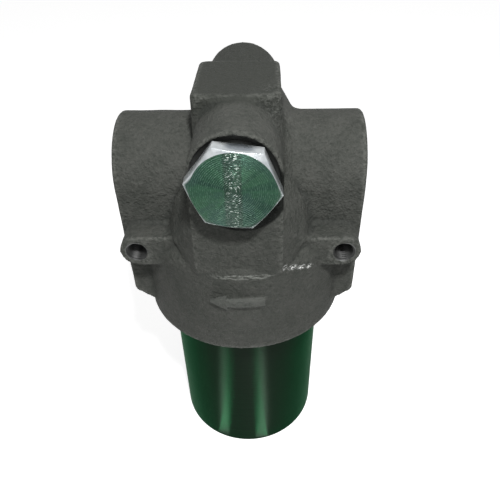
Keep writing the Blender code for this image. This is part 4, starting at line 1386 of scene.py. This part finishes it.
@dataclass
class Studio:
    """Pale floor, soft lights and the camera of the photograph."""

    camera_place: Point = (0.01541, -0.27571, 0.37936)
    camera_azimuth: float = math.radians(2.3836)
    camera_elevation: float = math.radians(39.026)
    camera_roll: float = math.radians(-1.5227)
    focal_pixels: float = 510.01
    frame_pixels: float = 500.0
    sensor: float = 36.0
    middle: Point = (0.0, 0.0, 0.16)
    floor_half: float = 3.0
    floor_seen: Colour = (0.80, 0.80, 0.80)
    floor_bounce: Colour = (0.22, 0.23, 0.22)
    floor_lift: float = 0.76
    sky_light: float = 0.25
    glow_parts: int = 4
    glow_strength: float = 10.5
    glow_height: float = 0.001
    glow_widths: Pair = (0.009, 0.026)

    def shoot(self) -> None:
        """Place the camera."""
        roll = self.camera_roll
        back = direction(self.camera_azimuth, self.camera_elevation)
        level = direction(self.camera_azimuth + math.pi / 2.0, 0.0)
        rise = back.cross(level)
        right = level * math.cos(roll) + rise * math.sin(roll)
        up = rise * math.cos(roll) - level * math.sin(roll)
        camera = bpy.data.cameras.new("photo_camera")
        camera.sensor_width = self.sensor
        camera.lens = self.sensor * self.focal_pixels / self.frame_pixels
        camera.clip_start = 0.01
        stand = bpy.data.objects.new("photo_camera", camera)
        turn = Matrix((right, up, back)).transposed().to_4x4()
        stand.matrix_world = Matrix.Translation(self.camera_place) @ turn
        bpy.context.scene.collection.objects.link(stand)
        bpy.context.scene.camera = stand

    def seen(self, bench: NodeBench) -> Shade:
        """Mask of rays that look at the background: straight, mirrored or through glass.

        Args:
            bench: The bench of the material or world.

        Returns:
            The mask.
        """
        rays = bench.add("ShaderNodeLightPath").outputs
        seen = Shade(bench, rays["Is Camera Ray"])
        return seen.most(rays["Is Glossy Ray"]).most(rays["Is Transmission Ray"])

    def lay_floor(self) -> None:
        """Lay a pale floor that keeps the shadow."""
        shape = bmesh.new()
        bmesh.ops.create_grid(shape, x_segments=1, y_segments=1, size=self.floor_half)
        floor = MeshShop.make("floor", shape)
        material, bench = new_material("pale_floor")
        seen = self.seen(bench)
        colour = bench.blend(seen, self.floor_bounce, self.floor_seen)
        diffuse = bench.add("ShaderNodeBsdfDiffuse", {"Color": colour})
        lift = bench.add("ShaderNodeEmission", {"Strength": seen * self.floor_lift})
        both = bench.add("ShaderNodeAddShader", {0: diffuse.outputs[0], 1: lift.outputs[0]})
        bench.add("ShaderNodeOutputMaterial", {"Surface": both.outputs[0]})
        MeshShop.paint(floor, material)

    def hang_sky(self) -> None:
        """Set the even light from all round, and the white behind the object."""
        world = bpy.data.worlds.new("studio")
        world.use_nodes = True
        bench = NodeBench(world.node_tree)
        strength = self.sky_light + self.seen(bench) * (1.0 - self.sky_light)
        sky = bench.add("ShaderNodeBackground", {"Color": (1.0, 1.0, 1.0), "Strength": strength})
        bench.add("ShaderNodeOutputWorld", {"Surface": sky.outputs[0]})
        bpy.context.scene.world = world

    def hang_lamp(self, name: str, size: Pair, power: float, place: Vector, turn: Any) -> None:
        """Hang one soft lamp.

        Args:
            name: Its name.
            size: Width and height.
            power: In watts.
            place: Where it hangs.
            turn: Its rotation; it shines along its own -Z.
        """
        lamp = bpy.data.lights.new(name, "AREA")
        lamp.shape = "RECTANGLE"
        lamp.size, lamp.size_y = size
        lamp.energy = power
        box = bpy.data.objects.new(name, lamp)
        box.location = place
        box.rotation_euler = turn
        box.visible_camera = False
        bpy.context.scene.collection.objects.link(box)

    def hang_box(
        self, name: str, azimuth: float, elevation: float, distance: float, size: Pair, power: float
    ) -> None:
        """Hang one soft box that looks at the object.

        Args:
            name: Its name.
            azimuth: Degrees from the front, positive to the right.
            elevation: Degrees above the horizon.
            distance: From the object's middle.
            size: Width and height.
            power: In watts.
        """
        away = direction(math.radians(azimuth), math.radians(elevation))
        place = Vector(self.middle) + away * distance
        self.hang_lamp(name, size, power, place, away.to_track_quat("Z", "Y").to_euler())

    def lay_glow(self, name: str, start: Pair, end: Pair) -> None:
        """Lay a low glow on the floor, which the bowl mirrors as an upright streak.

        Args:
            name: Its name.
            start: Its end near the bowl, in x and y.
            end: Its far end.
        """
        near_width, far_width = self.glow_widths
        along = (Vector(end) - Vector(start)) / self.glow_parts
        turn = (math.pi, 0.0, math.atan2(along.x, -along.y))
        for part in range(self.glow_parts):
            share = (part + 0.5) / self.glow_parts
            width = near_width + (far_width - near_width) * share
            power = self.glow_strength * math.pi * width * along.length
            middle = Vector(start) + along * (part + 0.5)
            place = Vector((middle.x, middle.y, self.glow_height))
            self.hang_lamp(f"{name}_{part}", (width, along.length), power, place, turn)

    def build(self) -> None:
        """Set up the whole studio."""
        bpy.context.scene.view_settings.view_transform = "Standard"
        self.lay_floor()
        self.hang_sky()
        small, wide = (0.06, 0.06), (0.5, 0.3)
        self.hang_box("overhead_box", azimuth=14.0, elevation=55.0, distance=0.70, size=small, power=4.4)
        self.hang_box("front_box", azimuth=6.0, elevation=14.0, distance=1.0, size=wide, power=0.95)
        self.lay_glow("left_glow", (-0.022, -0.052), (-0.084, -0.137))
        self.lay_glow("right_glow", (0.012, -0.053), (0.065, -0.155))
        self.shoot()


def dress_inside() -> None:
    """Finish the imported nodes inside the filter."""
    turned = PlainMetal("turned_steel", (0.56, 0.57, 0.56), 0.26, 0.0009, stretch=(0.1, 0.1, 1.0))
    spring = PlainMetal("oiled_spring_steel", (0.30, 0.31, 0.32), 0.30)
    plated = PlainMetal("zinc_plated_sheet", (0.60, 0.61, 0.60), 0.33)
    woven = PlainMetal("woven_support_mesh", (0.48, 0.49, 0.48), 0.42, 0.0004)
    # Near-black seal ring steel, which also paints the shade in the gap under the plug's head.
    seal_steel_and_gap_shade = PlainMetal("seal_ring_and_gap_shade", (0.045, 0.047, 0.046), 0.5)
    rubber = SoftMatt("seal_rubber", (0.016, 0.016, 0.017), 0.62, 0.0005, 0.00003)
    plastic = SoftMatt("backup_plastic", (0.74, 0.73, 0.69), 0.4, 0.0008, 0.00003)
    fleece = SoftMatt("pleated_fleece", (0.70, 0.66, 0.53), 0.85, 0.0004, 0.00012)
    finishes = (
        (turned, ("element_spigot", "bypass_seat", "bypass_poppet", "bypass_cage")),
        (spring, ("bypass_spring", "bypass_snap_ring")),
        (plated, ("element_top_cap", "element_bottom_cap", "element_core_tube")),
        (woven, ("element_support_mesh",)),
        (seal_steel_and_gap_shade, ("plug_seal_ring",)),
        (rubber, ("plug_seal_lip", "bowl_o_ring", "spigot_o_ring", "element_o_ring")),
        (plastic, ("bowl_backup_ring",)),
        (fleece, ("element_media",)),
    )
    for finish, nodes in finishes:
        material = finish.material()
        for node in nodes:
            PackedPiece(node).dress(material)
    BypassSpring().shorten()


def main() -> None:
    """Build every piece round the frame."""
    logging.basicConfig(level=logging.INFO, format="%(message)s")
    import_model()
    skin = CastSkin().material()
    bored = BoredIron().material()
    # Near-black finish that paints the shade inside the lug holes and their threads.
    lug_bore = BoredIron("lug_bore_painted_shade", (0.016, 0.017, 0.016), metallic=0.0).material()
    worn_skin = CastSkin("worn_arrow_skin", (0.082, 0.088, 0.080), (0.118, 0.122, 0.112)).material()
    built = [CastHead().build(skin, bored, lug_bore), FlowArrow().build(worn_skin)]
    port_thread = {"start": 0.0475, "length": 0.0205, "bore_radius": 0.0194, "depth": 0.0011, "pitch": 0.0023}
    for name, axis in zip(("outlet_port_thread", "inlet_port_thread"), PORT_SIDES):
        built.append(ThreadLiner(name, axis, (0.0, 0.0, PORT_AXIS), **port_thread).build(bored))
    lug_thread = {"start": 0.0265, "length": 0.0205, "bore_radius": 0.0062, "depth": 0.0009, "pitch": 0.00175}
    for name, side in (("left_lug_thread", -1.0), ("right_lug_thread", 1.0)):
        place = (side * CastHead.lug_x, 0.0, CastHead.lug_z)
        built.append(ThreadLiner(name, Axis.FRONT, place, **lug_thread, steps=40).build(lug_bore))
    built.append(BowlShell().build(BowlCoat().material()))
    built.append(PortPlug().build(TurnedPlug().material()))
    dress_inside()
    Studio().build()
    for piece in built:
        LOG.info("%s: %d faces", piece.name, len(piece.data.polygons))


if __name__ == "__main__":
    main()
